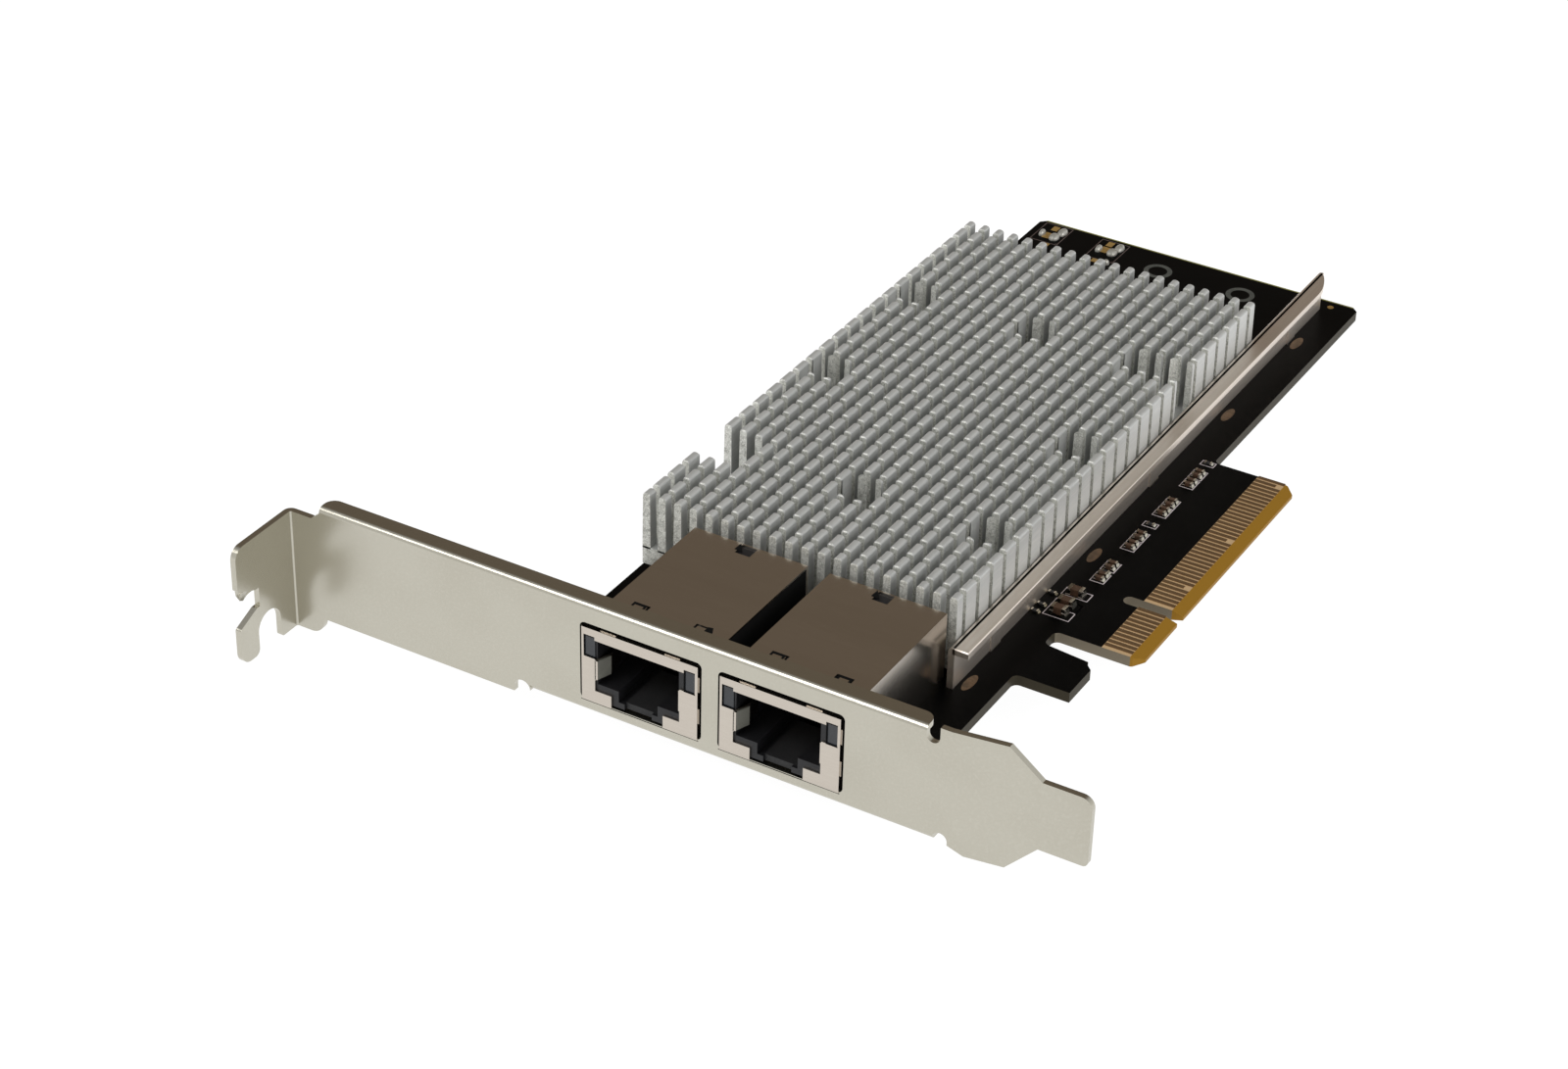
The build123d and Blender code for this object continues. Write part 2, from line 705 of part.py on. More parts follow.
def spacer_places():
    """Centres of the four heat sink spacers."""
    places = []
    for x in (SINK_LEFT + SPACER_INSET, SINK_RIGHT - SPACER_INSET):
        for y in (SINK_FRONT + SPACER_INSET, SINK_BACK - SPACER_INSET):
            places.append((x, y))
    return places


def rail_tab_centres():
    """Places of the rail's tabs along Y."""
    first = RAIL_START + RAIL_TAB_INSET
    last = RAIL_END - RAIL_TAB_INSET
    step = (last - first) / (RAIL_TABS - 1)
    return [first + step * index for index in range(RAIL_TABS)]


def board_holes():
    """Every hole and slot through the board."""
    z0 = BOARD_BOTTOM - MARGIN
    z1 = BOARD_TOP + MARGIN
    holes = []
    for left in JACK_LEFTS:
        for x, y in tail_places(left):
            holes.append(post(x, y, z0, z1, TAIL_HOLE, TAIL_HOLE_SIDES))
        for x, y in peg_places(left):
            holes.append(post(x, y, z0, z1, PEG_HOLE, TAIL_HOLE_SIDES))
    clear = SCREW_SHANK + SCREW_CLEARANCE
    for x, y in spacer_places():
        holes.append(post(x, y, z0, z1, clear))
    for x in ear_centres():
        holes.append(post(x, EAR_SCREW_FROM_FRONT, z0, z1, clear))
    gap = RAIL_TAB_CLEARANCE
    half = RAIL_TAB_WIDTH / 2 + gap
    for y in rail_tab_centres():
        right = RAIL_LEFT + RAIL_SHEET + gap
        holes.append(block(RAIL_LEFT - gap, right, y - half, y + half, z0, z1))
    return holes


def circuit_board():
    """The board with its card edge and holes."""
    board = board_outline() - key_notch()
    board = board & bevelled_section()
    return board - board_holes()


def contact_rows():
    """Near side and length of every contact along the card edge."""
    rows = []
    reach = EDGE_REACH - BEVEL_LENGTH
    number = 0
    start = EDGE_NEAR + CONTACT_NEAR_MARGIN
    for index in range(CONTACTS_BEFORE_KEY):
        number += 1
        rows.append((number, start + index * CONTACT_PITCH))
    start = KEY_CENTRE + KEY_WIDTH / 2 + CONTACT_NEAR_MARGIN
    for index in range(CONTACTS_AFTER_KEY):
        number += 1
        rows.append((number, start + index * CONTACT_PITCH))
    contacts = []
    for number, y in rows:
        length = CONTACT_SHORT if number in SHORT_CONTACTS else CONTACT_LENGTH
        contacts.append((y, reach - CONTACT_LENGTH, reach - CONTACT_LENGTH + length))
    return contacts


def edge_contacts():
    """Thin gold contacts on both faces of the card edge."""
    contacts = []
    for y, x0, x1 in contact_rows():
        y1 = y + CONTACT_WIDTH
        contacts.append(block(x0, x1, y, y1, BOARD_TOP, BOARD_TOP + CONTACT_FILM))
        contacts.append(block(x0, x1, y, y1, BOARD_BOTTOM - CONTACT_FILM, BOARD_BOTTOM))
    return contacts


# Network jacks
def port_face(left):
    """The opening of the shell's front, for the plug and both light pipes."""
    y0 = JACK_FRONT - MARGIN
    y1 = JACK_FRONT + SHELL_WALL
    middle = left + PORT_MIDDLE
    half = PORT_LATCH_WIDTH / 2
    upper = block(left + PORT_LEFT, left + PORT_RIGHT, y0, y1, PORT_STEP, PORT_TOP)
    lower = block(middle - half, middle + half, y0, y1, BOARD_TOP - MARGIN, PORT_STEP)
    opening = upper + lower
    near, far = pipe_spans(left)
    opening += block(near[0], middle, y0, y1, PIPE_LOWER, PORT_TOP)
    opening += block(middle, far[1], y0, y1, PIPE_LOWER, PORT_TOP)
    for x0, x1 in (near, far):
        opening += block(x0, x1, y0, y1, PIPE_LOWER, PIPE_UPPER)
    return opening


def pipe_spans(left):
    """Left and right side of each light pipe."""
    right = left + JACK_WIDTH
    near = left + PIPE_FROM_LEFT
    far = right - PIPE_FROM_LEFT
    return ((near, near + PIPE_WIDTH), (far - PIPE_WIDTH, far))


def latch_slot(x0):
    """A thin slot with three sides round a small tongue in the shell's top."""
    line = LATCH_SLOT_LINE
    x1 = x0 + LATCH_SLOT_WIDTH
    y0 = LATCH_SLOT_START
    y1 = y0 + LATCH_SLOT_LENGTH
    z0 = JACK_TOP - SHELL_WALL
    whole = block(x0, x1, y0, y1, z0, JACK_TOP)
    return whole - block(x0 + line, x1 - line, y0, y1 - line, z0, JACK_TOP)


def shell_springs(left):
    """Spring leaves that stand off the shell in the bracket's window."""
    y0 = JACK_FRONT
    y1 = y0 + SPRING_LENGTH
    right = left + JACK_WIDTH
    springs = []
    for x0 in (left + SPRING_FROM_SIDE, right - SPRING_FROM_SIDE - SPRING_WIDTH):
        points = [
            (y0 + SHELL_WALL, JACK_TOP),
            (y0 + SHELL_WALL, JACK_TOP + SPRING_SHEET),
            ((y0 + y1) / 2, JACK_TOP + SPRING_RISE),
            (y1, JACK_TOP + SPRING_SHEET),
            (y1, JACK_TOP),
        ]
        springs.append(side_panel(points, x0, x0 + SPRING_WIDTH))
    for z0 in (SIDE_SPRING_LOWER, SIDE_SPRING_UPPER):
        points = [
            (right, y0 + SHELL_WALL),
            (right + SPRING_SHEET, y0 + SHELL_WALL),
            (right + SIDE_SPRING_RISE, (y0 + y1) / 2),
            (right + SPRING_SHEET, y1),
            (right, y1),
        ]
        springs.append(plan_panel(points, z0, z0 + SPRING_WIDTH))
    return springs


def port_leaf(left, side):
    """A grounding leaf that slants into the port from one of its sides."""
    edge = left + (PORT_LEFT if side > 0 else PORT_RIGHT)
    y0 = JACK_FRONT
    sheet = SPRING_SHEET * side
    crest = edge + LEAF_REACH * side
    points = [
        (edge, y0),
        (edge + sheet, y0),
        (crest + sheet, y0 + LEAF_CREST),
        (edge + 3 * sheet, y0 + LEAF_LENGTH),
        (edge + 2 * sheet, y0 + LEAF_LENGTH),
        (crest, y0 + LEAF_CREST),
        (edge, y0 + SHELL_WALL),
    ]
    return plan_panel(points, LEAF_LOWER, LEAF_UPPER)


def jack_shell(left):
    """The folded metal shell, open to the board, with springs and pegs."""
    right = left + JACK_WIDTH
    wall = SHELL_WALL
    front = JACK_FRONT
    shell = block(left, right, front, JACK_BACK, BOARD_TOP, JACK_TOP)
    shell += block(left, right, front, front + wall, BOARD_TOP - SHELL_LIP, BOARD_TOP)
    inner = block(
        left + wall, right - wall,
        front + wall, JACK_BACK - wall,
        BOARD_TOP - MARGIN, JACK_TOP - wall,
    )
    shell -= inner
    shell -= port_face(left)
    near = left + SPRING_FROM_SIDE
    far = right - SPRING_FROM_SIDE - LATCH_SLOT_WIDTH
    shell -= latch_slot(near) + latch_slot(far)
    middle = (left + right) / 2
    half = REAR_SLOT_WIDTH / 2
    y0 = JACK_BACK - REAR_SLOT_LENGTH
    shell -= block(middle - half, middle + half, y0, JACK_BACK - wall, JACK_TOP - wall, JACK_TOP)
    for spring in shell_springs(left):
        shell += spring
    for side in (1, -1):
        shell += port_leaf(left, side)
    for x, y in peg_places(left):
        x0 = x - wall / 2
        half = PEG_WIDTH / 2
        low = BOARD_BOTTOM - TAIL_STICK_OUT
        shell += block(x0, x0 + wall, y - half, y + half, low, BOARD_TOP)
    return shell


def housing_bounds(left):
    """The moulded housing's box inside the shell."""
    gap = SHELL_WALL + SHELL_FIT
    y0 = JACK_FRONT + gap
    return (
        left + gap, left + JACK_WIDTH - gap,
        y0, y0 + HOUSING_LENGTH,
        BOARD_TOP, JACK_TOP - gap,
    )


def jack_housing(left):
    """The black moulding with the stepped port and the light pipes' channels."""
    x0, x1, y0, y1, z0, z1 = housing_bounds(left)
    housing = block(x0, x1, y0, y1, z0, z1)
    port_x0 = left + PORT_LEFT + PORT_WALL
    port_x1 = left + PORT_RIGHT - PORT_WALL
    deep = y0 + PORT_DEPTH
    ledge = LEDGE_WIDTH
    foot = LEDGE_WIDTH + BLOCK_WIDTH - PORT_WALL * 4
    top = PORT_TOP - PORT_WALL
    points = [
        (port_x0, LEDGE_TOP),
        (port_x0 + ledge, LEDGE_TOP),
        (port_x0 + ledge, BLOCK_TOP),
        (port_x0 + foot, BLOCK_TOP),
        (port_x0 + foot, BOARD_TOP),
        (port_x1 - foot, BOARD_TOP),
        (port_x1 - foot, BLOCK_TOP),
        (port_x1 - ledge, BLOCK_TOP),
        (port_x1 - ledge, LEDGE_TOP),
        (port_x1, LEDGE_TOP),
        (port_x1, top),
        (port_x0, top),
    ]
    housing -= front_panel(points, y0, deep)
    for p0, p1 in pipe_spans(left):
        gap = PIPE_FIT
        housing -= block(p0 - gap, p1 + gap, y0, y1, PIPE_LOWER - gap, PIPE_UPPER + gap)
    leaf_room = SHELL_WALL + LEAF_REACH
    for edge in (left + PORT_LEFT, left + PORT_RIGHT - leaf_room):
        x_end = edge + leaf_room
        y_end = y0 + LEAF_LENGTH
        housing -= block(edge, x_end, y0, y_end, LEAF_LOWER - PIPE_FIT, LEAF_UPPER + PIPE_FIT)
    return housing


def jack_light_pipes(left):
    """Two clear light pipes that end in the shell's windows."""
    y1 = housing_bounds(left)[3]
    y0 = JACK_FRONT + PIPE_RECESS
    pipes = []
    for x0, x1 in pipe_spans(left):
        pipes.append(block(x0, x1, y0, y1, PIPE_LOWER, PIPE_UPPER))
    return pipes


def jack_contacts(left):
    """Eight gold wires that slope back from the port's roof."""
    y0 = JACK_FRONT + WIRE_ROOT_START
    root = y0 + WIRE_ROOT_LENGTH
    end = JACK_FRONT + WIRE_SLOPE_END
    top = PORT_TOP - PORT_WALL
    thick = WIRE_THICKNESS
    points = [
        (y0, top),
        (y0, top - thick),
        (root, top - thick),
        (end, top - thick - WIRE_DROP),
        (end + WIRE_TIP, top - WIRE_DROP),
        (end, top - WIRE_DROP),
        (root, top),
    ]
    wires = []
    for index in range(WIRE_COUNT):
        middle = left + PORT_MIDDLE + (index - (WIRE_COUNT - 1) / 2) * WIRE_PITCH
        x0 = middle - WIRE_WIDTH / 2
        wires.append(side_panel(points, x0, x0 + WIRE_WIDTH))
    return wires


def jack_magnetics(left):
    """The moulded transformer block behind the port."""
    x0, x1, y0, y1, z0, z1 = housing_bounds(left)
    back = JACK_BACK - SHELL_WALL - SHELL_FIT
    return block(x0, x1, y1 + SHELL_FIT, back, z0, z1)


def jack_tails(left):
    """Square tails of the transformer block through the board."""
    low = BOARD_BOTTOM - TAIL_STICK_OUT
    half = TAIL_SIZE / 2
    tails = []
    for x, y in tail_places(left):
        tails.append(block(x - half, x + half, y - half, y + half, low, BOARD_TOP))
    return tails


# Heat sink
def pin_centre(column):
    """Middle of one column of pins."""
    return SINK_LEFT + PIN_TOP / 2 + column * PIN_PITCH


def fin_section():
    """The extruded comb before it is sawn across, seen from the front."""
    points = [(SINK_RIGHT, SINK_BOTTOM), (SINK_LEFT, SINK_BOTTOM)]
    last = PIN_COLUMNS - 1
    for column in range(PIN_COLUMNS):
        x = pin_centre(column)
        root_left = SINK_LEFT if column == 0 else x - PIN_ROOT / 2
        root_right = SINK_RIGHT if column == last else x + PIN_ROOT / 2
        if column > 0:
            points.append((root_left, SINK_FLOOR))
        points.append((x - PIN_TOP / 2, SINK_TOP))
        points.append((x + PIN_TOP / 2, SINK_TOP))
        if column < last:
            points.append((root_right, SINK_FLOOR))
    return points


def saw_start(index):
    """Near side of one saw cut."""
    return SINK_FRONT + SAW_FIRST - SAW_WIDTH / 2 + index * SAW_PITCH


def saw_cuts():
    """Cuts across the comb that leave the pins."""
    cuts = []
    for index in range(SAW_COUNT):
        y = saw_start(index)
        cuts.append(block(SINK_LEFT - 1, SINK_RIGHT + 1, y, y + SAW_WIDTH, SINK_FLOOR, SINK_TOP + 1))
    return cuts


def pin_pockets():
    """Groups of pins that are milled away down to the base."""
    cuts = []
    half_gap = (PIN_PITCH - PIN_ROOT) / 2
    for first_saw, left, right in POCKETS:
        x0 = pin_centre(left) - PIN_ROOT / 2 - half_gap
        x1 = pin_centre(right) + PIN_ROOT / 2 + half_gap
        y0 = saw_start(first_saw)
        y1 = saw_start(first_saw + POCKET_ROWS) + SAW_WIDTH
        cuts.append(block(x0, x1, y0, y1, SINK_FLOOR, SINK_TOP + 1))
    return cuts


def side_notch():
    """The notch through pins and base at the left edge."""
    right = pin_centre(NOTCH_COLUMNS) - PIN_ROOT / 2
    y0 = SINK_FRONT + NOTCH_START
    return block(
        SINK_LEFT - 1, right,
        y0, y0 + NOTCH_LENGTH,
        SINK_BOTTOM - 1, SINK_TOP + 1,
    )


def heat_sink():
    """The pin heat sink with its pockets, notch and screw bores."""
    comb = front_panel(fin_section(), SINK_FRONT, SINK_BACK)
    cuts = saw_cuts() + pin_pockets()
    cuts.append(side_notch())
    bore = SCREW_SHANK + THREAD_CLEARANCE
    for x, y in spacer_places():
        cuts.append(post(x, y, SINK_BOTTOM - 1, SINK_BOTTOM + SCREW_BITE + THREAD_CLEARANCE, bore))
    return comb - cuts


def controller_chip():
    """The network controller under the middle of the heat sink."""
    x = (SINK_LEFT + SINK_RIGHT) / 2
    y = (SINK_FRONT + SINK_BACK) / 2
    half = CHIP_SIDE / 2
    return block(x - half, x + half, y - half, y + half, BOARD_TOP, BOARD_TOP + CHIP_HEIGHT)


def thermal_pad():
    """The soft pad between the controller and the heat sink."""
    x = (SINK_LEFT + SINK_RIGHT) / 2
    y = (SINK_FRONT + SINK_BACK) / 2
    half = CHIP_SIDE / 2 + PAD_OVERHANG
    return block(x - half, x + half, y - half, y + half, BOARD_TOP + CHIP_HEIGHT, SINK_BOTTOM)


def heat_sink_spacers():
    """Round spacers that carry the heat sink."""
    spacers = []
    for x, y in spacer_places():
        outer = post(x, y, BOARD_TOP, SINK_BOTTOM, SPACER_OUTER)
        spacers.append(outer - post(x, y, BOARD_TOP - 1, SINK_BOTTOM + 1, SPACER_BORE))
    return spacers


def screw(x, y, seat, shank_end):
    """A screw whose head sits on the seat, with a hexagon socket in it."""
    up = 1 if seat > shank_end else -1
    top = seat + SCREW_HEAD_HEIGHT * up
    head = post(x, y, min(seat, top), max(seat, top), SCREW_HEAD)
    shank = post(x, y, min(seat, shank_end), max(seat, shank_end), SCREW_SHANK)
    body = head + shank
    hexagon = Pos(x, y, top) * RegularPolygon(SOCKET_WIDTH, 6)
    return body - extrude(hexagon, SOCKET_DEPTH, dir=(0, 0, -up))


def heat_sink_screws():
    """Screws from the solder side into the heat sink."""
    return [screw(x, y, BOARD_BOTTOM, SINK_BOTTOM + SCREW_BITE) for x, y in spacer_places()]


def bracket_screws():
    """Screws through the board into the bracket's ears."""
    return [screw(x, EAR_SCREW_FROM_FRONT, BOARD_TOP, -EAR_SCREW_STICK_OUT) for x in ear_centres()]


# Stiffener rail
def stiffener_rail():
    """The folded rail beside the heat sink, with tabs through the board."""
    outer = RAIL_LEFT + RAIL_WIDTH
    inner = RAIL_LEFT + RAIL_SHEET
    points = [
        (RAIL_LEFT, BOARD_TOP),
        (RAIL_LEFT, RAIL_TOP),
        (outer, RAIL_TOP),
        (outer, RAIL_TOP - RAIL_SHEET),
        (inner, RAIL_TOP - RAIL_SHEET),
        (inner, BOARD_TOP),
    ]
    rail = front_panel(points, RAIL_START, RAIL_END)
    rail = rounded(rail, Axis.Y, [(RAIL_LEFT, RAIL_TOP, RAIL_BEND - 0.06)])
    near = [(outer + 1, RAIL_START - 1), (inner, RAIL_START - 1), (inner, RAIL_START)]
    near += [(outer, RAIL_START + RAIL_CUT_NEAR), (outer + 1, RAIL_START + RAIL_CUT_NEAR)]
    far = [(outer + 1, RAIL_END + 1), (inner, RAIL_END + 1), (inner, RAIL_END)]
    far += [(outer, RAIL_END - RAIL_CUT_FAR), (outer + 1, RAIL_END - RAIL_CUT_FAR)]
    rail -= plan_panel(near, BOARD_TOP, RAIL_TOP)
    rail -= plan_panel(far, BOARD_TOP, RAIL_TOP)
    half = RAIL_TAB_WIDTH / 2
    low = BOARD_BOTTOM - RAIL_TAB_REACH
    for y in rail_tab_centres():
        rail += block(RAIL_LEFT, inner, y - half, y + half, low, BOARD_TOP)
    return rail


# Small parts on the board
def on_board(x, y, size):
    """A small block that stands on the board, placed from its front left corner."""
    cx = BOARD_LEFT + x
    cy = BOARD_FRONT + y
    dx, dy, dz = size
    return block(cx - dx / 2, cx + dx / 2, cy - dy / 2, cy + dy / 2, BOARD_TOP, BOARD_TOP + dz)


def coupling_capacitors():
    """Capacitors in line with the card edge."""
    capacitors = []
    for middle in COUPLING_PAIRS:
        for side in (-0.5, 0.5):
            y = middle + side * COUPLING_SPACING
            capacitors.append(on_board(COUPLING_X, y, COUPLING_SIZE))
    return capacitors


def bulk_capacitors():
    """Larger capacitors beside the rail."""
    return [on_board(BULK_X, y, BULK_SIZE) for y in BULK_Y]


def resistors():
    """Small resistors between the capacitors."""
    return [on_board(x, y, RESISTOR_SIZE) for x, y in RESISTOR_PLACES]


def power_inductors():
    """Moulded inductors behind the heat sink."""
    size = (INDUCTOR_SIDE, INDUCTOR_SIDE, INDUCTOR_HEIGHT)
    inductors = []
    for x in INDUCTOR_X:
        inductor = on_board(x, INDUCTOR_Y, size)
        inductors.append(chamfer(inductor.edges().filter_by(Axis.Z), INDUCTOR_SIDE / 10))
    return inductors


def voltage_regulator():
    """The regulator between the two inductors."""
    return on_board(REGULATOR_X, INDUCTOR_Y, REGULATOR_SIZE)


def filter_capacitors():
    """A row of ceramic capacitors behind the heat sink."""
    return [on_board(x, FILTER_Y, FILTER_SIZE) for x in FILTER_X]


def flash_memory():
    """A small memory chip with eight leads beside the first jack."""
    x, y = MEMORY_PLACE
    dx, dy, dz = MEMORY_SIZE
    body = Pos(0, 0, MEMORY_LIFT) * on_board(x, y, (dy, dx, dz))
    foot = BOARD_TOP
    for side in (-1, 1):
        inner = BOARD_LEFT + x + side * dy / 2
        outer = inner + side * MEMORY_LEAD_REACH
        for index in range(4):
            middle = BOARD_FRONT + y + (index - 1.5) * MEMORY_LEAD_PITCH
            y0 = middle - MEMORY_LEAD_WIDTH / 2
            y1 = middle + MEMORY_LEAD_WIDTH / 2
            body += block(min(inner, outer), max(inner, outer), y0, y1, foot, foot + MEMORY_LIFT * 2)
    return body


def clock_crystal():
    """The metal can of the clock crystal beside the first jack."""
    x, y = CRYSTAL_PLACE
    can = on_board(x, y, CRYSTAL_SIZE)
    return chamfer(can.edges().filter_by(Axis.Z), CRYSTAL_SIZE[0] / 8)


os.makedirs("parts", exist_ok=True)
save("bracket", [bracket()])
save("bracket_screws", bracket_screws())
save("circuit_board", [circuit_board()])
save("edge_contacts", edge_contacts())
for number, jack_left in enumerate(JACK_LEFTS, start=1):
    save(f"jack_{number}_shell", [jack_shell(jack_left)])
    save(f"jack_{number}_housing", [jack_housing(jack_left)])
    save(f"jack_{number}_light_pipes", jack_light_pipes(jack_left))
    save(f"jack_{number}_contacts", jack_contacts(jack_left))
    save(f"jack_{number}_magnetics", [jack_magnetics(jack_left)])
    save(f"jack_{number}_tails", jack_tails(jack_left))
save("heat_sink", [heat_sink()])
save("controller_chip", [controller_chip()])
save("thermal_pad", [thermal_pad()])
save("heat_sink_spacers", heat_sink_spacers())
save("heat_sink_screws", heat_sink_screws())
save("stiffener_rail", [stiffener_rail()])
save("coupling_capacitors", coupling_capacitors())
save("bulk_capacitors", bulk_capacitors())
save("resistors", resistors())
save("power_inductors", power_inductors())
save("voltage_regulator", [voltage_regulator()])
save("filter_capacitors", filter_capacitors())
save("flash_memory", [flash_memory()])
save("clock_crystal", [clock_crystal()])
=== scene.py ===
"""A dual-port network card with a pin heat sink, dressed and lit as in the photograph."""
import logging
import math
from dataclasses import dataclass, field
from enum import Enum
from typing import Optional, Sequence

import bmesh
import bpy
from mathutils import Matrix, Vector


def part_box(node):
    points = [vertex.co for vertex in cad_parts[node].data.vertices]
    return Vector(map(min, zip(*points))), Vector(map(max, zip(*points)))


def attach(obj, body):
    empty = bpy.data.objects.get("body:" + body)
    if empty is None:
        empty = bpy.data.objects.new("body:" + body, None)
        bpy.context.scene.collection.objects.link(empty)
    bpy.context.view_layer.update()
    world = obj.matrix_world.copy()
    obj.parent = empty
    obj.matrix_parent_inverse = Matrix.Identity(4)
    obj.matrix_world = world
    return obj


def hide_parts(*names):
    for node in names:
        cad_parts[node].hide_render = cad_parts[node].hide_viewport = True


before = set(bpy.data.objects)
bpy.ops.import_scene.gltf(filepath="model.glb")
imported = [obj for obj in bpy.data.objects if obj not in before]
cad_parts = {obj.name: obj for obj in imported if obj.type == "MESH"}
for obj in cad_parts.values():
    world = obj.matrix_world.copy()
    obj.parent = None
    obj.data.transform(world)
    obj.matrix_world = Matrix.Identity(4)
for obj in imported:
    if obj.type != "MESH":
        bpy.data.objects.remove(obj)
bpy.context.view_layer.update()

LOG = logging.getLogger("network_card")
MM = 0.001
Colour = tuple[float, float, float]
Place = tuple[float, float, float]
Span = tuple[float, float]
Sides = tuple[float, float, float, float]
Tree = bpy.types.NodeTree
Socket = bpy.types.NodeSocket
Material = bpy.types.Material
Piece = bpy.types.Object
Mesh = bpy.types.Mesh
Shape = bmesh.types.BMesh
Corner = bmesh.types.BMVert


class Pattern(Enum):
    """How the grain of a finish runs."""

    EVEN = (1.0, 1.0, 1.0)
    DRAWN = (1.0, 0.06, 1.0)
    ROLLED = (0.08, 1.0, 1.0)


@dataclass(frozen=True)
class Finish:
    """One surface finish: its colours, gloss and grain, with scales in copies per metre."""

    name: str
    base: Colour
    patch: Colour
    speck: Colour
    metallic: float = 0.0
    roughness: float = 0.5
    spread: float = 0.1
    patch_scale: float = 90.0
    patch_amount: float = 0.5
    speck_scale: float = 3000.0
    speck_amount: float = 0.3
    bump: float = 0.01
    coat: float = 0.0
    specular: float = 0.5
    pattern: Pattern = Pattern.EVEN


NICKEL = Finish("nickel_plate", (0.505, 0.485, 0.415), (0.43, 0.405, 0.335), (0.58, 0.56, 0.49), 1.0, 0.25,
                0.08, 70.0, 0.3, 2600.0, 0.25, 0.002)
SHELL = Finish("jack_plate", (0.55, 0.50, 0.44), (0.47, 0.42, 0.355), (0.64, 0.60, 0.53), 1.0, 0.19, 0.06,
               120.0, 0.35, 3400.0, 0.2, 0.0015, pattern=Pattern.ROLLED)
RAIL = Finish("rail_plate", (0.88, 0.80, 0.72), (0.76, 0.68, 0.60), (0.95, 0.90, 0.84), 1.0, 0.42, 0.12,
              60.0, 0.45, 3000.0, 0.3, 0.002, pattern=Pattern.DRAWN)
EXTRUDED = Finish("extruded_aluminium", (0.56, 0.57, 0.56), (0.46, 0.47, 0.46), (0.68, 0.68, 0.66), 0.35,
                  0.42, 0.14, 200.0, 0.5, 4200.0, 0.5, 0.006, pattern=Pattern.DRAWN)
SAWN = Finish("sawn_aluminium", (0.70, 0.705, 0.66), (0.36, 0.365, 0.33), (1.0, 1.0, 0.95), 0.4, 0.5, 0.25,
              1500.0, 0.75, 5200.0, 1.0, 0.03)
GOLD = Finish("contact_gold", (0.50, 0.36, 0.22), (0.42, 0.29, 0.17), (0.66, 0.50, 0.33), 1.0, 0.22, 0.06,
              300.0, 0.4, 4000.0, 0.2, 0.001)
TIN = Finish("solder_tin", (0.58, 0.56, 0.48), (0.36, 0.34, 0.27), (0.95, 0.93, 0.88), 1.0, 0.16, 0.1,
             900.0, 0.6, 3000.0, 0.3, 0.02)
STEEL = Finish("screw_steel", (0.55, 0.55, 0.53), (0.42, 0.42, 0.40), (0.66, 0.66, 0.64), 1.0, 0.32, 0.12,
               400.0, 0.4, 3000.0, 0.3, 0.004)
MOULDED = Finish("black_moulding", (0.009, 0.009, 0.0105), (0.014, 0.014, 0.016), (0.03, 0.03, 0.033), 0.0,
                 0.42, 0.12, 200.0, 0.4, 5000.0, 0.25, 0.006, specular=0.35)
# A lighter black for the plateau on the floor of the port.
PLATEAU = Finish("lighter_moulding", (0.02, 0.02, 0.021), (0.012, 0.012, 0.013), (0.045, 0.045, 0.045), 0.0,
                 0.55, 0.12, 300.0, 0.4, 5000.0, 0.3, 0.006, specular=0.3)
PACKAGE = Finish("dark_package", (0.018, 0.018, 0.02), (0.03, 0.03, 0.032), (0.06, 0.06, 0.062), 0.0, 0.55,
                 0.15, 300.0, 0.4, 6000.0, 0.35, 0.01)
LENS = Finish("light_pipe", (0.016, 0.019, 0.024), (0.010, 0.012, 0.015), (0.03, 0.034, 0.04), 0.0, 0.25,
              0.06, 400.0, 0.3, 2500.0, 0.2, 0.002, coat=0.15)
CERAMIC = Finish("brown_ceramic", (0.085, 0.045, 0.027), (0.04, 0.026, 0.018), (0.17, 0.105, 0.065), 0.0,
                 0.42, 0.12, 900.0, 0.6, 6000.0, 0.3, 0.006, specular=0.3)
INK = Finish("legend_ink", (0.66, 0.59, 0.61), (0.42, 0.37, 0.385), (0.80, 0.74, 0.76), 0.0, 0.6, 0.1,
             1500.0, 0.5, 5000.0, 0.3, 0.004)
GREY_INK = Finish("grey_ring", (0.075, 0.08, 0.072), (0.045, 0.05, 0.045), (0.13, 0.135, 0.125), 0.0, 0.5,
                  0.1, 900.0, 0.6, 5000.0, 0.4, 0.004)
COPPER = Finish("dull_copper", (0.16, 0.10, 0.055), (0.06, 0.042, 0.026), (0.28, 0.19, 0.11), 0.5, 0.42, 0.12,
                900.0, 0.7, 5000.0, 0.3, 0.004)
PAD_GOLD = Finish("pad_gold", (0.50, 0.32, 0.10), (0.36, 0.21, 0.06), (0.70, 0.52, 0.24), 0.5, 0.35, 0.1,
                  700.0, 0.5, 4000.0, 0.3, 0.004)
SOFT_PAD = Finish("soft_pad", (0.30, 0.33, 0.38), (0.24, 0.27, 0.31), (0.38, 0.41, 0.46), 0.0, 0.8, 0.1,
                  300.0, 0.4, 3000.0, 0.3, 0.02)
# Painted light: a matt grey copy of the jack's plated metal for the leaf's side face, so that this side reads
# as lit.
LIT_LEAF_SIDE = Finish("leaf_side_painted_light", (0.17, 0.17, 0.145), (0.11, 0.11, 0.095), (0.22, 0.22, 0.19), 0.1, 0.6, 0.1,
                   300.0, 0.4, 4000.0, 0.3, 0.003)
FAINT_INK = Finish("faint_ink", (0.13, 0.095, 0.085), (0.06, 0.045, 0.04), (0.20, 0.16, 0.15), 0.0, 0.6, 0.1,
                   1200.0, 0.6, 5000.0, 0.3, 0.004)
SOLDER_BLOB = Finish("solder_blob", (0.46, 0.45, 0.41), (0.28, 0.27, 0.23), (0.75, 0.75, 0.72), 0.45, 0.3,
                     0.1, 900.0, 0.6, 3000.0, 0.3, 0.02)
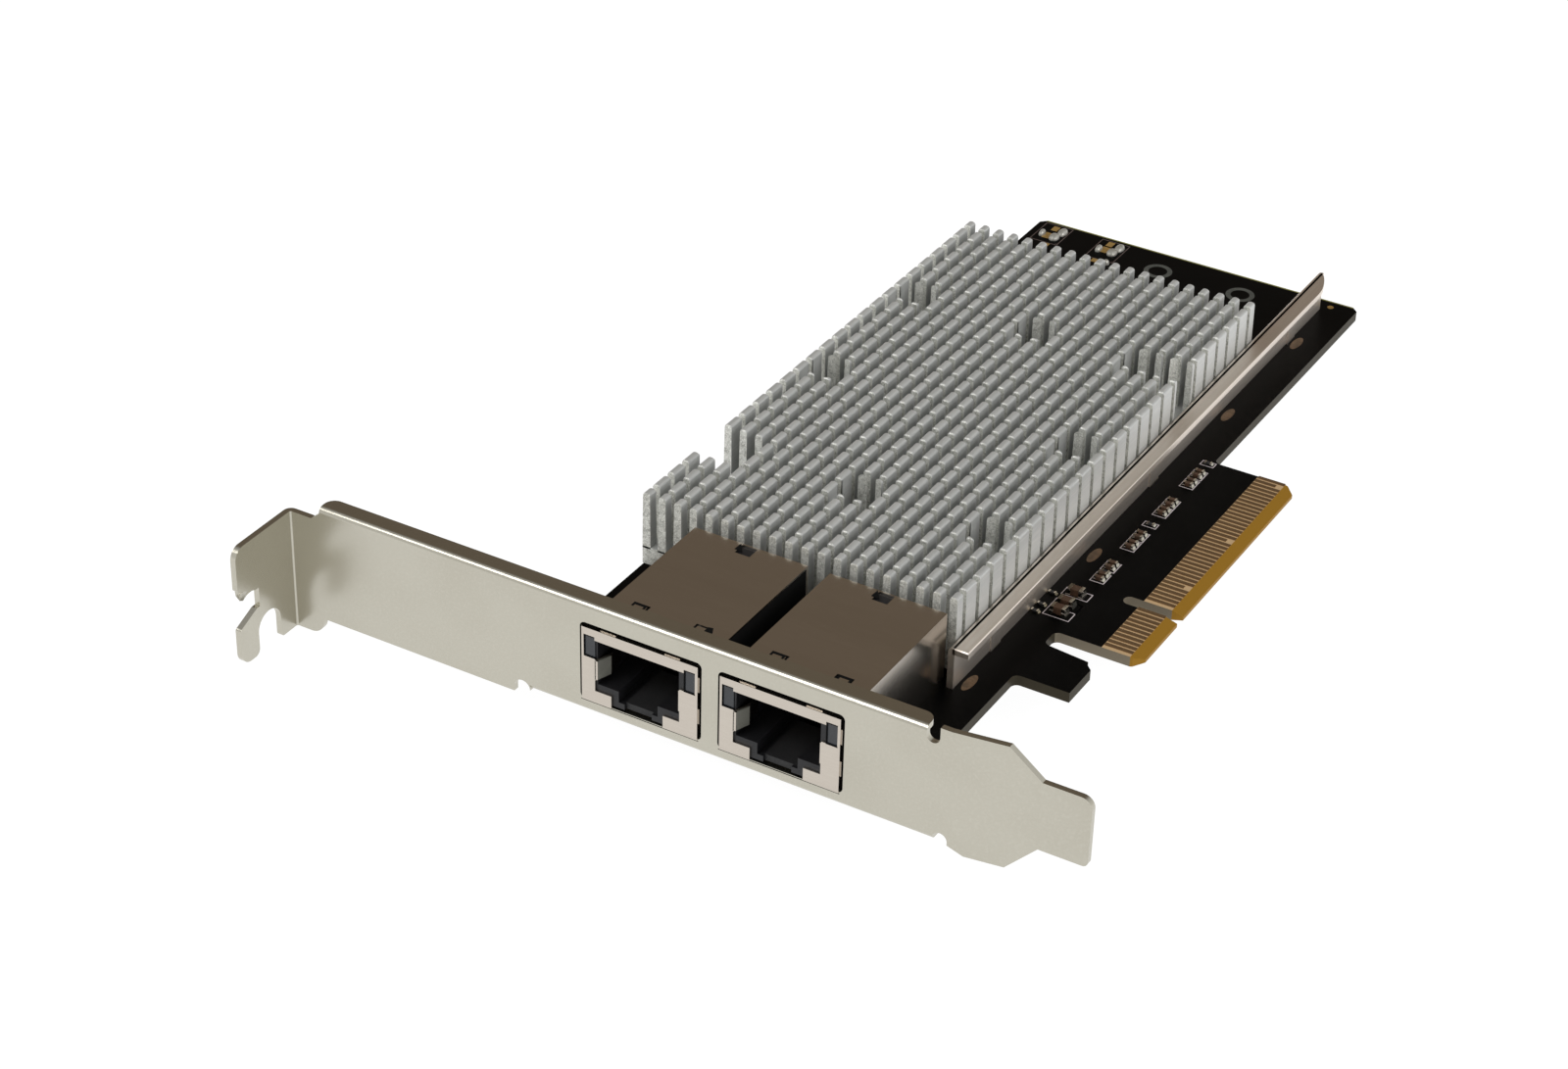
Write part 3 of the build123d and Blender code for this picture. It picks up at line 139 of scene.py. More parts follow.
SHADE = Finish("shade_black", (0.004, 0.004, 0.004), (0.006, 0.006, 0.006), (0.01, 0.01, 0.01), 0.0, 0.8, 0.1,
               300.0, 0.3, 3000.0, 0.2, 0.002, specular=0.1)

GROUP_COLOURS = ("Base", "Patch", "Speck")
GROUP_NUMBERS = ("Patch Scale", "Patch Amount", "Speck Scale", "Speck Amount", "Roughness", "Spread")
SHADER = "Principled BSDF"
MIX_FACTOR, MIX_LOW, MIX_HIGH, MIX_RESULT = 0, 6, 7, 2


def feed(tree: Tree, node: bpy.types.Node, inputs: dict) -> None:
    """Fills inputs of a node.

    Args:
        tree: The node's tree.
        node: The node.
        inputs: What goes in, by the input's name or number. A socket is linked and a value is set.
    """
    for key, value in inputs.items():
        if isinstance(value, Socket):
            tree.links.new(value, node.inputs[key])
        else:
            node.inputs[key].default_value = value


def add_node(tree: Tree, kind: str, inputs: Optional[dict] = None, **settings: object) -> bpy.types.Node:
    """Adds one node, with its settings made before its inputs are filled.

    Args:
        tree: The tree that gets it.
        kind: The name of its type.
        inputs: What goes into it, as for feed.
        settings: Its own settings.

    Returns:
        The node.
    """
    node = tree.nodes.new(kind)
    for name, value in settings.items():
        setattr(node, name, value)
    feed(tree, node, inputs or {})
    return node


def add_math(tree: Tree, operation: str, *values: object) -> Socket:
    """Adds one maths node over sockets or numbers and returns its result."""
    return add_node(tree, "ShaderNodeMath", dict(enumerate(values)), operation=operation).outputs[0]


def add_ramp(tree: Tree, value: Socket, low: float, high: float, **settings: object) -> Socket:
    """Adds a ramp from 0 to 1 between two values and returns its result."""
    inputs = {"Value": value, "From Min": low, "From Max": high}
    return add_node(tree, "ShaderNodeMapRange", inputs, **settings).outputs["Result"]


def colour_mix(tree: Tree, mask: Socket, low: Socket, high: object) -> Socket:
    """Mixes two colours by a mask.

    Args:
        tree: The tree that gets the node.
        mask: Where the second colour shows.
        low: The first colour.
        high: The second colour, a socket or four numbers.

    Returns:
        The mixed colour.
    """
    inputs = {MIX_FACTOR: mask, MIX_LOW: low, MIX_HIGH: high}
    return add_node(tree, "ShaderNodeMix", inputs, data_type="RGBA").outputs[MIX_RESULT]


def add_sockets(tree: Tree, side: str, kind: str, *names: str) -> None:
    """Gives a tree sockets of one kind on its input or output side."""
    for name in names:
        tree.interface.new_socket(name, in_out=side, socket_type=kind)


@dataclass
class Shop:
    """Builds each material once and hands it out again."""

    made: dict[str, Material] = field(default_factory=dict)
    group: Optional[Tree] = None
    patch_window: Span = (0.42, 0.68)
    speck_window: Span = (0.48, 0.72)
    noise_detail: float = 2.0
    noise_middle: float = 0.5
    bump_strength: float = 0.6

    def texture_group(self) -> Tree:
        """The shared group of patches, specks and grain.

        Returns:
            A shader group that puts out a colour, a roughness and a height.
        """
        if self.group is not None:
            return self.group
        tree = bpy.data.node_groups.new("worn_surface", "ShaderNodeTree")
        add_sockets(tree, "INPUT", "NodeSocketVector", "Vector")
        add_sockets(tree, "INPUT", "NodeSocketColor", *GROUP_COLOURS)
        add_sockets(tree, "INPUT", "NodeSocketFloat", *GROUP_NUMBERS)
        add_sockets(tree, "OUTPUT", "NodeSocketColor", "Color")
        add_sockets(tree, "OUTPUT", "NodeSocketFloat", "Roughness", "Height")
        source = add_node(tree, "NodeGroupInput").outputs
        patches, patch_mask = self.masked_noise(tree, source, "Patch", self.patch_window)
        specks, speck_mask = self.masked_noise(tree, source, "Speck", self.speck_window)
        patched = colour_mix(tree, patch_mask, source["Base"], source["Patch"])
        specked = colour_mix(tree, speck_mask, patched, source["Speck"])
        centred = add_math(tree, "SUBTRACT", patches, self.noise_middle)
        rough = add_math(tree, "MULTIPLY_ADD", centred, source["Spread"], source["Roughness"])
        add_node(tree, "NodeGroupOutput", {"Color": specked, "Roughness": rough, "Height": specks})
        self.group = tree
        return tree

    def masked_noise(self, tree: Tree, source: bpy.types.NodeOutputs, layer: str, window: Span) -> tuple:
        """Noise with a soft threshold.

        Args:
            tree: The group that gets the nodes.
            source: The group's inputs.
            layer: Patch or Speck, the first word of the inputs that it takes.
            window: Noise values where the mask starts and is full.

        Returns:
            The noise and the mask as sockets.
        """
        inputs = {"Vector": source["Vector"], "Scale": source[layer + " Scale"], "Detail": self.noise_detail}
        noise = add_node(tree, "ShaderNodeTexNoise", inputs).outputs[0]
        mask = add_math(tree, "MULTIPLY", add_ramp(tree, noise, *window), source[layer + " Amount"])
        return noise, mask

    def get(self, finish: Finish) -> Material:
        """The material of a finish, made on first use."""
        if finish.name not in self.made:
            self.made[finish.name] = self.build(finish)[0]
        return self.made[finish.name]

    def build(self, finish: Finish) -> tuple[Material, Socket]:
        """Builds one material.

        Args:
            finish: What it should look like.

        Returns:
            The material and the socket with its colour.
        """
        material = bpy.data.materials.new(finish.name)
        material.use_nodes = True
        tree = material.node_tree
        place = add_node(tree, "ShaderNodeTexCoord").outputs["Object"]
        stretch = add_node(tree, "ShaderNodeMapping", {"Vector": place, "Scale": finish.pattern.value})
        inputs = {"Vector": stretch.outputs["Vector"]}
        inputs |= {name: (*getattr(finish, name.lower()), 1.0) for name in GROUP_COLOURS}
        inputs |= {name: getattr(finish, name.lower().replace(" ", "_")) for name in GROUP_NUMBERS}
        group = add_node(tree, "ShaderNodeGroup", inputs, node_tree=self.texture_group()).outputs
        bump = add_node(tree, "ShaderNodeBump", {"Strength": self.bump_strength, "Distance": finish.bump * MM,
                                                 "Height": group["Height"]})
        feed(tree, tree.nodes[SHADER], {
            "Base Color": group["Color"], "Roughness": group["Roughness"], "Normal": bump.outputs["Normal"],
            "Metallic": finish.metallic, "Coat Weight": finish.coat, "Specular IOR Level": finish.specular,
        })
        return material, group["Color"]


SHOP = Shop()


@dataclass(frozen=True)
class CardFrame:
    """Turns millimetres from the bracket's corner into the frame's metres."""

    front_gap: float = 1.2
    foot_sheet: float = 0.86

    def corner(self) -> Vector:
        """Where the counting starts: the tab's outer face, the bracket's front and the foot's underside."""
        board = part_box("circuit_board")[0]
        return Vector((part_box("bracket")[0].x, board.y - self.front_gap * MM, board.z - self.foot_sheet * MM))

    def at(self, x: float, y: float, z: float) -> Vector:
        """One point, given in millimetres."""
        return self.corner() + Vector((x, y, z)) * MM

    def board_top(self) -> float:
        """Height of the board's upper face in millimetres."""
        return (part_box("circuit_board")[1].z - self.corner().z) / MM


CARD = CardFrame()


def mesh_piece(name: str, mesh: Mesh, finish: Optional[Finish] = None) -> Piece:
    """Makes an object from a mesh whose place is in its points.

    Args:
        name: The object's name.
        mesh: Its mesh, in metres.
        finish: Its finish, or None to keep the mesh's own materials.

    Returns:
        The linked object.
    """
    piece = bpy.data.objects.new(name, mesh)
    bpy.context.scene.collection.objects.link(piece)
    if finish is not None:
        mesh.materials.clear()
        mesh.materials.append(SHOP.get(finish))
    return piece


def settle(piece: Piece, slot: str, *nodes: str) -> Piece:
    """Fixes a piece to the card and reports it.

    Args:
        piece: The finished piece.
        slot: Not used.
        nodes: Nodes of the frame that it stands for.

    Returns:
        The same piece.
    """
    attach(piece, "root")
    if nodes:
        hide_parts(*nodes)
    LOG.info("%s: %d faces", piece.name, len(piece.data.polygons))
    return piece


def add_box(shape: Shape, low: Vector, high: Vector) -> list[Corner]:
    """Adds one box to a mesh under construction and returns its points."""
    middle = (low + high) / 2
    size = high - low
    matrix = Matrix.Translation(middle) @ Matrix.Diagonal((size.x, size.y, size.z, 1.0))
    return bmesh.ops.create_cube(shape, size=1.0, matrix=matrix)["verts"]


def join_rings(shape: Shape, near: list[Corner], far: list[Corner]) -> None:
    """Adds the faces between two rings of as many points."""
    for index in range(len(near)):
        after = (index + 1) % len(near)
        shape.faces.new((near[index], near[after], far[after], far[index]))


def add_skin(shape: Shape, rings: list[list[Corner]]) -> None:
    """Adds a closed skin over rings of points, with one face at each end."""
    shape.faces.new(list(reversed(rings[0])))
    shape.faces.new(rings[-1])
    for near, far in zip(rings, rings[1:]):
        join_rings(shape, near, far)


def add_prism(shape: Shape, outline: Sequence[Span], low: float, high: float) -> None:
    """Adds an upright prism.

    Args:
        shape: The mesh under construction.
        outline: Its plan, anticlockwise, in millimetres from the bracket's corner.
        low: Its lower height in millimetres.
        high: Its upper height in millimetres.
    """
    add_skin(shape, [[shape.verts.new(CARD.at(x, y, z)) for x, y in outline] for z in (low, high)])


def to_mesh(shape: Shape, name: str) -> Mesh:
    """Ends a mesh under construction, with its faces turned outwards."""
    bmesh.ops.recalc_face_normals(shape, faces=shape.faces[:])
    mesh = bpy.data.meshes.new(name)
    shape.to_mesh(mesh)
    shape.free()
    return mesh


def finish_piece(shape: Shape, name: str, finish: Finish, slot: str, *nodes: str) -> Piece:
    """Ends a mesh under construction as a dressed piece on the card.

    Args:
        shape: The mesh under construction.
        name: The piece's name.
        finish: Its finish.
        slot: Handed to settle, which does not use it.
        nodes: Nodes of the frame that it stands for.

    Returns:
        The piece.
    """
    return settle(mesh_piece(name, to_mesh(shape, name), finish), slot, *nodes)


@dataclass
class Scatter:
    """Sets copies of one blank on a list of places with Geometry Nodes."""

    name: str
    blank: Mesh
    places: Sequence[Vector]
    stretches: Sequence[Vector]
    finish: Finish
    end_finish: Optional[Finish] = None
    cutters: Optional[Mesh] = None
    end_facing: float = 0.7

    def tree(self) -> Tree:
        """Builds the node tree.

        Returns:
            A tree with the named inputs Blank, Cutters and End Facing.
        """
        tree = bpy.data.node_groups.new(self.name + "_copies", "GeometryNodeTree")
        add_sockets(tree, "INPUT", "NodeSocketGeometry", "Geometry")
        add_sockets(tree, "INPUT", "NodeSocketObject", "Blank", "Cutters")
        add_sockets(tree, "INPUT", "NodeSocketFloat", "End Facing")
        add_sockets(tree, "OUTPUT", "NodeSocketGeometry", "Geometry")
        source = add_node(tree, "NodeGroupInput").outputs
        blank = add_node(tree, "GeometryNodeObjectInfo", {"Object": source["Blank"]}).outputs["Geometry"]
        stretch = add_node(tree, "GeometryNodeInputNamedAttribute", {"Name": "stretch"},
                           data_type="FLOAT_VECTOR").outputs[0]
        copies = add_node(tree, "GeometryNodeInstanceOnPoints",
                          {"Points": source["Geometry"], "Instance": blank, "Scale": stretch})
        real = add_node(tree, "GeometryNodeRealizeInstances", {"Geometry": copies.outputs["Instances"]})
        result = real.outputs["Geometry"]
        if self.cutters is not None:
            cutters = add_node(tree, "GeometryNodeObjectInfo", {"Object": source["Cutters"]})
            inputs = {"Mesh 1": result, "Mesh 2": cutters.outputs["Geometry"]}
            result = add_node(tree, "GeometryNodeMeshBoolean", inputs, operation="DIFFERENCE").outputs["Mesh"]
        add_node(tree, "NodeGroupOutput", {"Geometry": self.dressed(tree, source, result)})
        return tree

    def dressed(self, tree: Tree, source: bpy.types.NodeOutputs, result: Socket) -> Socket:
        """Adds the finish of all faces, then that of the faces that look along Y.

        Args:
            tree: The tree under construction.
            source: The tree's inputs.
            result: The geometry so far.

        Returns:
            The dressed geometry.
        """
        inputs = {"Geometry": result, "Material": SHOP.get(self.finish)}
        painted = add_node(tree, "GeometryNodeSetMaterial", inputs).outputs["Geometry"]
        if self.end_finish is None:
            return painted
        normal = add_node(tree, "GeometryNodeInputNormal").outputs[0]
        along = add_node(tree, "ShaderNodeSeparateXYZ", {0: normal}).outputs["Y"]
        facing = add_node(tree, "FunctionNodeCompare",
                          {"A": add_math(tree, "ABSOLUTE", along), "B": source["End Facing"]},
                          data_type="FLOAT", operation="GREATER_THAN").outputs["Result"]
        inputs = {"Geometry": painted, "Material": SHOP.get(self.end_finish), "Selection": facing}
        return add_node(tree, "GeometryNodeSetMaterial", inputs).outputs["Geometry"]

    def build(self) -> Piece:
        """Runs the tree and keeps its result.

        Returns:
            A plain mesh object with no modifier.
        """
        points = bpy.data.meshes.new(self.name + "_places")
        points.from_pydata([tuple(place) for place in self.places], [], [])
        attribute = points.attributes.new("stretch", "FLOAT_VECTOR", "POINT")
        attribute.data.foreach_set("vector", [value for stretch in self.stretches for value in stretch])
        carrier = mesh_piece(self.name + "_carrier", points)
        blank = mesh_piece(self.name + "_blank", self.blank)
        helpers = [carrier, blank]
        modifier = carrier.modifiers.new("copies", "NODES")
        modifier.node_group = self.tree()
        sockets = {item.name: item.identifier for item in modifier.node_group.interface.items_tree
                   if item.in_out == "INPUT"}
        modifier[sockets["Blank"]] = blank
        modifier[sockets["End Facing"]] = self.end_facing
        if self.cutters is not None:
            cutters = mesh_piece(self.name + "_cutters", self.cutters)
            modifier[sockets["Cutters"]] = cutters
            helpers.append(cutters)
        graph = bpy.context.evaluated_depsgraph_get()
        graph.update()
        mesh = bpy.data.meshes.new_from_object(carrier.evaluated_get(graph))
        mesh.name = self.name
        for helper in helpers:
            bpy.data.objects.remove(helper)
        return mesh_piece(self.name, mesh)


@dataclass
class HeatSink:
    """The pin heat sink: an extruded comb, sawn across, with round pockets and a side notch."""

    columns: int = 20
    pitch: float = 2.491
    root: float = 1.30
    top: float = 1.12
    crown: float = 0.32
    burr: float = 0.13
    burr_run: float = 0.04
    side_gap: float = 0.43
    side_out: float = 0.195
    front_out: float = 0.45
    side_out: float = 0.195
    front_out: float = 0.45
    base: float = 2.8
    sink_in: float = 0.3
    saws: int = 25
    saw_width: float = 0.94
    saw_pitch: float = 3.7525
    saw_first: float = 1.6
    pocket_radius: float = 3.25
    pocket_sides: int = 36
    notch_start: float = 12.3
    notch_length: float = 9.3
    notch_columns: int = 3
    notch_corner: float = 0.8
    blank_half: float = 0.5
    burr_lean: float = 0.5
    crown_steps: int = 6
    corner_steps: int = 5
    cutter_over: float = 1.0
    front_facing: float = -0.9
    pockets: tuple[tuple[int, float], ...] = (
        (3, 9.5), (3, 17.5), (10, 1.5), (10, 17.5), (17, 1.5), (17, 9.5), (17, 16.5), (17, 18.5))

    def bounds(self) -> tuple[float, float, float, float, float, float]:
        """The heat sink's box in millimetres from the bracket's corner."""
        low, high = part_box("heat_sink")
        corner = CARD.corner()
        low, high = (low - corner) / MM, (high - corner) / MM
        return low.x, high.x, low.y, high.y, low.z, high.z

    def pin_blank(self, height: float) -> Mesh:
        """One pin with a round top, 1 mm long, that stands on its own origin.

        Args:
            height: From the pin's foot to its top, in millimetres.

        Returns:
            The pin's mesh.
        """
        half_top = self.top / 2
        half_root = self.root / 2
        outline = [(half_root, 0.0)]
        for step in range(self.crown_steps + 1):
            turn = math.pi * step / self.crown_steps
            outline.append((half_top * math.cos(turn), height - self.crown * (1 - math.sin(turn))))
        outline.append((-half_root, 0.0))
        shape = bmesh.new()
        end = self.blank_half
        run = end - self.burr_run
        rings = []
        for y, drop in ((-end, self.burr), (-run, 0.0), (run, 0.0), (end, self.burr)):
            lean = drop * self.burr_lean
            ring = [(x, min(z, height - drop) - lean * (z > height / 2)) for x, z in outline]
            rings.append([shape.verts.new((x * MM, y * MM, z * MM)) for x, z in ring])
        for near, far in zip(rings, rings[1:]):
            for index in range(len(outline)):
                after = (index + 1) % len(outline)
                shape.faces.new((near[index], far[index], far[after], near[after]))
        shape.faces.new(rings[0])
        shape.faces.new(list(reversed(rings[-1])))
        return to_mesh(shape, "pin_blank")

    def rows(self, y0: float, y1: float) -> list[Span]:
        """Start and end of each row of pins, in millimetres."""
        starts = [y0 - self.front_out]
        ends = []
        for index in range(self.saws):
            middle = y0 + self.saw_first + index * self.saw_pitch
            ends.append(middle - self.saw_width / 2)
            starts.append(middle + self.saw_width / 2)
        ends.append(y1)
        return list(zip(starts, ends))

    def pocket_cutters(self, x0: float, y0: float, floor: float, top: float) -> Mesh:
        """Round bars that mill the pockets down to the base.

        Args:
            x0: Left side of the heat sink.
            y0: Front of the heat sink.
            floor: Height of the base's upper face.
            top: Height of the pins' tops.

        Returns:
            The cutters' mesh.
        """
        shape = bmesh.new()
        for first_saw, column in self.pockets:
            x = x0 + self.side_gap + column * self.pitch
            y = y0 + self.saw_first + (first_saw + 1) * self.saw_pitch
            turns = [math.tau * step / self.pocket_sides for step in range(self.pocket_sides)]
            outline = [(x + self.pocket_radius * math.cos(turn), y + self.pocket_radius * math.sin(turn))
                       for turn in turns]
            add_prism(shape, outline, floor - self.sink_in - self.cutter_over, top + self.cutter_over)
        return to_mesh(shape, "pocket_cutters")

    def base_outline(self, x0: float, x1: float, y0: float, y1: float) -> list[Span]:
        """Plan of the base with its side notch, anticlockwise."""
        inner = x0 + self.side_gap + self.notch_columns * self.pitch - self.root / 2
        near = y0 + self.notch_start
        far = near + self.notch_length
        corner = self.notch_corner
        x0 -= self.side_out
        x1 += self.side_out
        y0 -= self.front_out
        outline = [(x0, y0), (x1, y0), (x1, y1), (x0, y1), (x0, far)]
        steps = self.corner_steps
        for step in range(steps + 1):
            turn = math.pi / 2 * step / steps
            outline.append((inner - corner * (1 - math.sin(turn)), far - corner * (1 - math.cos(turn))))
        for step in range(steps + 1):
            turn = math.pi / 2 * step / steps
            outline.append((inner - corner * (1 - math.cos(turn)), near + corner * (1 - math.sin(turn))))
        outline.append((x0, near))
        return outline

    def build(self) -> None:
        """Builds and dresses the base and the pins."""
        x0, x1, y0, y1, bottom, top = self.bounds()
        floor = bottom + self.base
        shape = bmesh.new()
        add_prism(shape, self.base_outline(x0, x1, y0, y1), bottom, floor)
        base = finish_piece(shape, "heat_sink_base", EXTRUDED, "sink_aluminium", "heat_sink")
        base.data.materials.append(SHOP.get(SAWN))
        for face in base.data.polygons:
            face.material_index = int(face.normal.y < self.front_facing)
        places, stretches = [], []
        notch = (y0 + self.notch_start, y0 + self.notch_start + self.notch_length)
        for start, end in self.rows(y0, y1):
            middle = (start + end) / 2
            for column in range(self.columns):
                if column < self.notch_columns and notch[0] < middle < notch[1]:
                    continue
                x = x0 + self.side_gap + column * self.pitch
                places.append(CARD.at(x, middle, floor - self.sink_in))
                stretches.append(Vector((1.0, end - start, 1.0)))
        blank = self.pin_blank(top - floor + self.sink_in)
        cutters = self.pocket_cutters(x0, y0, floor, top)
        pins = Scatter("heat_sink_pins", blank, places, stretches, EXTRUDED, SAWN, cutters).build()
        settle(pins, "sink_aluminium", "heat_sink")


@dataclass
class ChipParts:
    """Small two-ended parts with tinned ends on the board."""

    name: str
    node: str
    spots: Sequence[Span]
    size: Place
    body_finish: Finish
    slot: str
    cap: float = 0.28
    round_off: float = 0.06
    pad: float = 0.22
    round_share: float = 0.5
    round_steps: int = 2
    body_lap: float = 0.8
    body_side_in: float = 0.02
    body_top_in: float = 0.03
    toe_height: float = 0.04
    fillet_share: float = 0.62
    fillet_out: float = 0.03

    def body_mesh(self) -> Mesh:
        """The ceramic body between the ends, with softened edges."""
        dx, dy, dz = self.size
        half = Vector((dx / 2 - self.cap * self.body_lap, dy / 2 - self.body_side_in, 0.0))
        shape = bmesh.new()
        low = Vector((-half.x, -half.y, self.body_top_in))
        high = Vector((half.x, half.y, dz - self.body_top_in))
        add_box(shape, low * MM, high * MM)
        bmesh.ops.bevel(shape, geom=shape.edges[:], offset=self.round_off * MM, segments=self.round_steps,
                        affect="EDGES", profile=self.round_share)
        return to_mesh(shape, self.name + "_body")

    def end_mesh(self) -> Mesh:
        """Both tinned ends with their solder fillets."""
        dx, dy, dz = self.size
        shape = bmesh.new()
        for side in (-1, 1):
            inner = side * (dx / 2 - self.cap)
            outer = side * dx / 2
            low = Vector((min(inner, outer), -dy / 2, 0.0))
            high = Vector((max(inner, outer), dy / 2, dz))
            add_box(shape, low * MM, high * MM)
            toe = side * (dx / 2 + self.pad)
            points = [(outer, 0.0), (toe, 0.0), (toe, self.toe_height), (outer, dz * self.fillet_share)]
            half = dy / 2 + self.fillet_out
            add_skin(shape, [[shape.verts.new((x * MM, y * MM, z * MM)) for x, z in points]
                             for y in (-half, half)])
        return to_mesh(shape, self.name + "_ends")

    def build(self) -> None:
        """Builds the bodies and the ends on their places."""
        z = CARD.board_top()
        places = [CARD.at(x, y, z) for x, y in self.spots]
        stretches = [Vector((1.0, 1.0, 1.0))] * len(places)
        bodies = Scatter(self.name + "_bodies", self.body_mesh(), places, stretches, self.body_finish).build()
        settle(bodies, self.slot, self.node)
        ends = Scatter(self.name + "_ends", self.end_mesh(), places, stretches, TIN).build()
        settle(ends, "tinned_pin", self.node)


@dataclass
class BoardMarks:
    """What is printed and plated on the board: frames, pads, ovals and rings."""

    line: float = 0.13
    ink: float = 0.02
    plate: float = 0.035
    pair_x: Span = (91.55, 93.62)
    pair_half: float = 1.25
    pair_middles: tuple[float, ...] = (61.25, 64.5, 70.8, 73.6, 81.15, 83.8, 90.2, 93.05)
    single_half: float = 0.62
    single_middles: tuple[float, ...] = (77.2, 96.65)
    oval_size: Span = (0.72, 2.0)
    oval_places: tuple[Span, ...] = ((89.1, 29.4), (89.35, 65.9), (89.2, 111.0), (89.2, 136.5))
    ring_places: tuple[Span, ...] = ((61.1, 146.0), (75.4, 146.0))
    ring_radius: float = 2.3
    ring_line: float = 0.8
    ring_sides: int = 40
    oval_sides: int = 28
    part_frames: tuple[Sides, ...] = (
        (89.75, 93.65, 49.2, 53.6), (92.0, 93.65, 51.35, 53.6), (89.75, 93.65, 54.85, 56.75))
    pad_frames: tuple[Sides, ...] = ((38.7, 43.45, 145.0, 151.2), (48.9, 53.75, 144.4, 151.0))
    pads: tuple[Sides, ...] = (
        (40.1, 41.3, 146.3, 148.2), (40.3, 41.4, 149.2, 150.7), (41.2, 42.4, 143.8, 144.8),
        (50.1, 51.4, 146.9, 148.8), (50.2, 51.3, 149.2, 150.7), (50.4, 51.6, 143.2, 144.3))
    pad_line_in: float = 0.3
    pad_line_end: float = 1.2
    dot: Place = (89.1, 150.0, 0.5)
    domes: tuple[Sides, ...] = (
        (42.05, 147.0, 0.85, 1.1), (42.55, 149.1, 0.75, 1.25), (39.75, 147.3, 0.5, 0.95),
        (52.3, 147.3, 0.85, 1.1), (52.75, 149.2, 0.75, 1.25), (49.9, 147.4, 0.55, 1.0),
        (53.0, 143.7, 0.55, 0.6))
    dome_height: float = 0.8
    dome_rounds: int = 3

    def frame(self, shape: Shape, x0: float, x1: float, y0: float, y1: float) -> None:
        """Adds one printed rectangle."""
        z = CARD.board_top()
        half = self.line / 2
        bars = ((x0 - half, x1 + half, y0 - half, y0 + half), (x0 - half, x1 + half, y1 - half, y1 + half),
                (x0 - half, x0 + half, y0 + half, y1 - half), (x1 - half, x1 + half, y0 + half, y1 - half))
        for left, right, near, far in bars:
            add_box(shape, CARD.at(left, near, z), CARD.at(right, far, z + self.ink))

    def ring(self, shape: Shape, x: float, y: float) -> None:
        """Adds one printed ring."""
        low = CARD.board_top()
        high = low + self.ink
        inner, outer = self.ring_radius - self.ring_line, self.ring_radius
        turns = [math.tau * step / self.ring_sides for step in range(self.ring_sides)]
        rows = []
        for radius, z in ((inner, low), (outer, low), (outer, high), (inner, high)):
            places = [CARD.at(x + radius * math.cos(turn), y + radius * math.sin(turn), z) for turn in turns]
            rows.append([shape.verts.new(place) for place in places])
        for row, after in zip(rows, rows[1:] + rows[:1]):
            join_rings(shape, row, after)

    def ellipse(self, x: float, y: float, half_x: float, half_y: float) -> list[Span]:
        """Plan of an ellipse, anticlockwise."""
        turns = [math.tau * step / self.oval_sides for step in range(self.oval_sides)]
        return [(x + half_x * math.cos(turn), y + half_y * math.sin(turn)) for turn in turns]

    def legends(self) -> None:
        """The printed frames and rings."""
        shape = bmesh.new()
        left, right = self.pair_x
        for half, middles in ((self.pair_half, self.pair_middles), (self.single_half, self.single_middles)):
            for middle in middles:
                self.frame(shape, left, right, middle - half, middle + half)
        for sides in self.part_frames:
            self.frame(shape, *sides)
        finish_piece(shape, "board_frames", INK, "board_laminate")
        shape = bmesh.new()
        for x0, x1, y0, y1 in self.pad_frames:
            self.frame(shape, x0, x1, y0, y1)
            x = x1 - self.pad_line_in
            self.frame(shape, x, x, y0 + self.pad_line_in, y1 - self.pad_line_end)
        finish_piece(shape, "pad_frames", FAINT_INK, "board_laminate")
        shape = bmesh.new()
        for x, y in self.ring_places:
            self.ring(shape, x, y)
        finish_piece(shape, "board_rings", GREY_INK, "board_laminate")

    def plating(self) -> None:
        """The copper ovals, the gold dot and the gold pads with their solder."""
        z = CARD.board_top()
        shape = bmesh.new()
        for x, y in self.oval_places:
            add_prism(shape, self.ellipse(x, y, *self.oval_size), z, z + self.plate)
        finish_piece(shape, "copper_ovals", COPPER, "contact_gold")
        shape = bmesh.new()
        x, y, radius = self.dot
        add_prism(shape, self.ellipse(x, y, radius, radius), z, z + self.plate)
        for x0, x1, y0, y1 in self.pads:
            add_box(shape, CARD.at(x0, y0, z), CARD.at(x1, y1, z + self.plate))
        finish_piece(shape, "gold_pads", PAD_GOLD, "contact_gold")
        shape = bmesh.new()
        for x, y, half_x, half_y in self.domes:
            size = Matrix.Diagonal((half_x * MM, half_y * MM, self.dome_height * MM, 1.0))
            matrix = Matrix.Translation(CARD.at(x, y, z)) @ size
            bmesh.ops.create_icosphere(shape, subdivisions=self.dome_rounds, radius=1.0, matrix=matrix)
        bmesh.ops.bisect_plane(shape, geom=shape.verts[:] + shape.edges[:] + shape.faces[:],
                               plane_co=CARD.at(0, 0, z), plane_no=(0, 0, 1), clear_inner=True)
        bmesh.ops.holes_fill(shape, edges=[edge for edge in shape.edges if edge.is_boundary])
        finish_piece(shape, "solder_domes", SOLDER_BLOB, "tinned_pin")

    def build(self) -> None:
        """Builds all marks."""
        self.legends()
        self.plating()


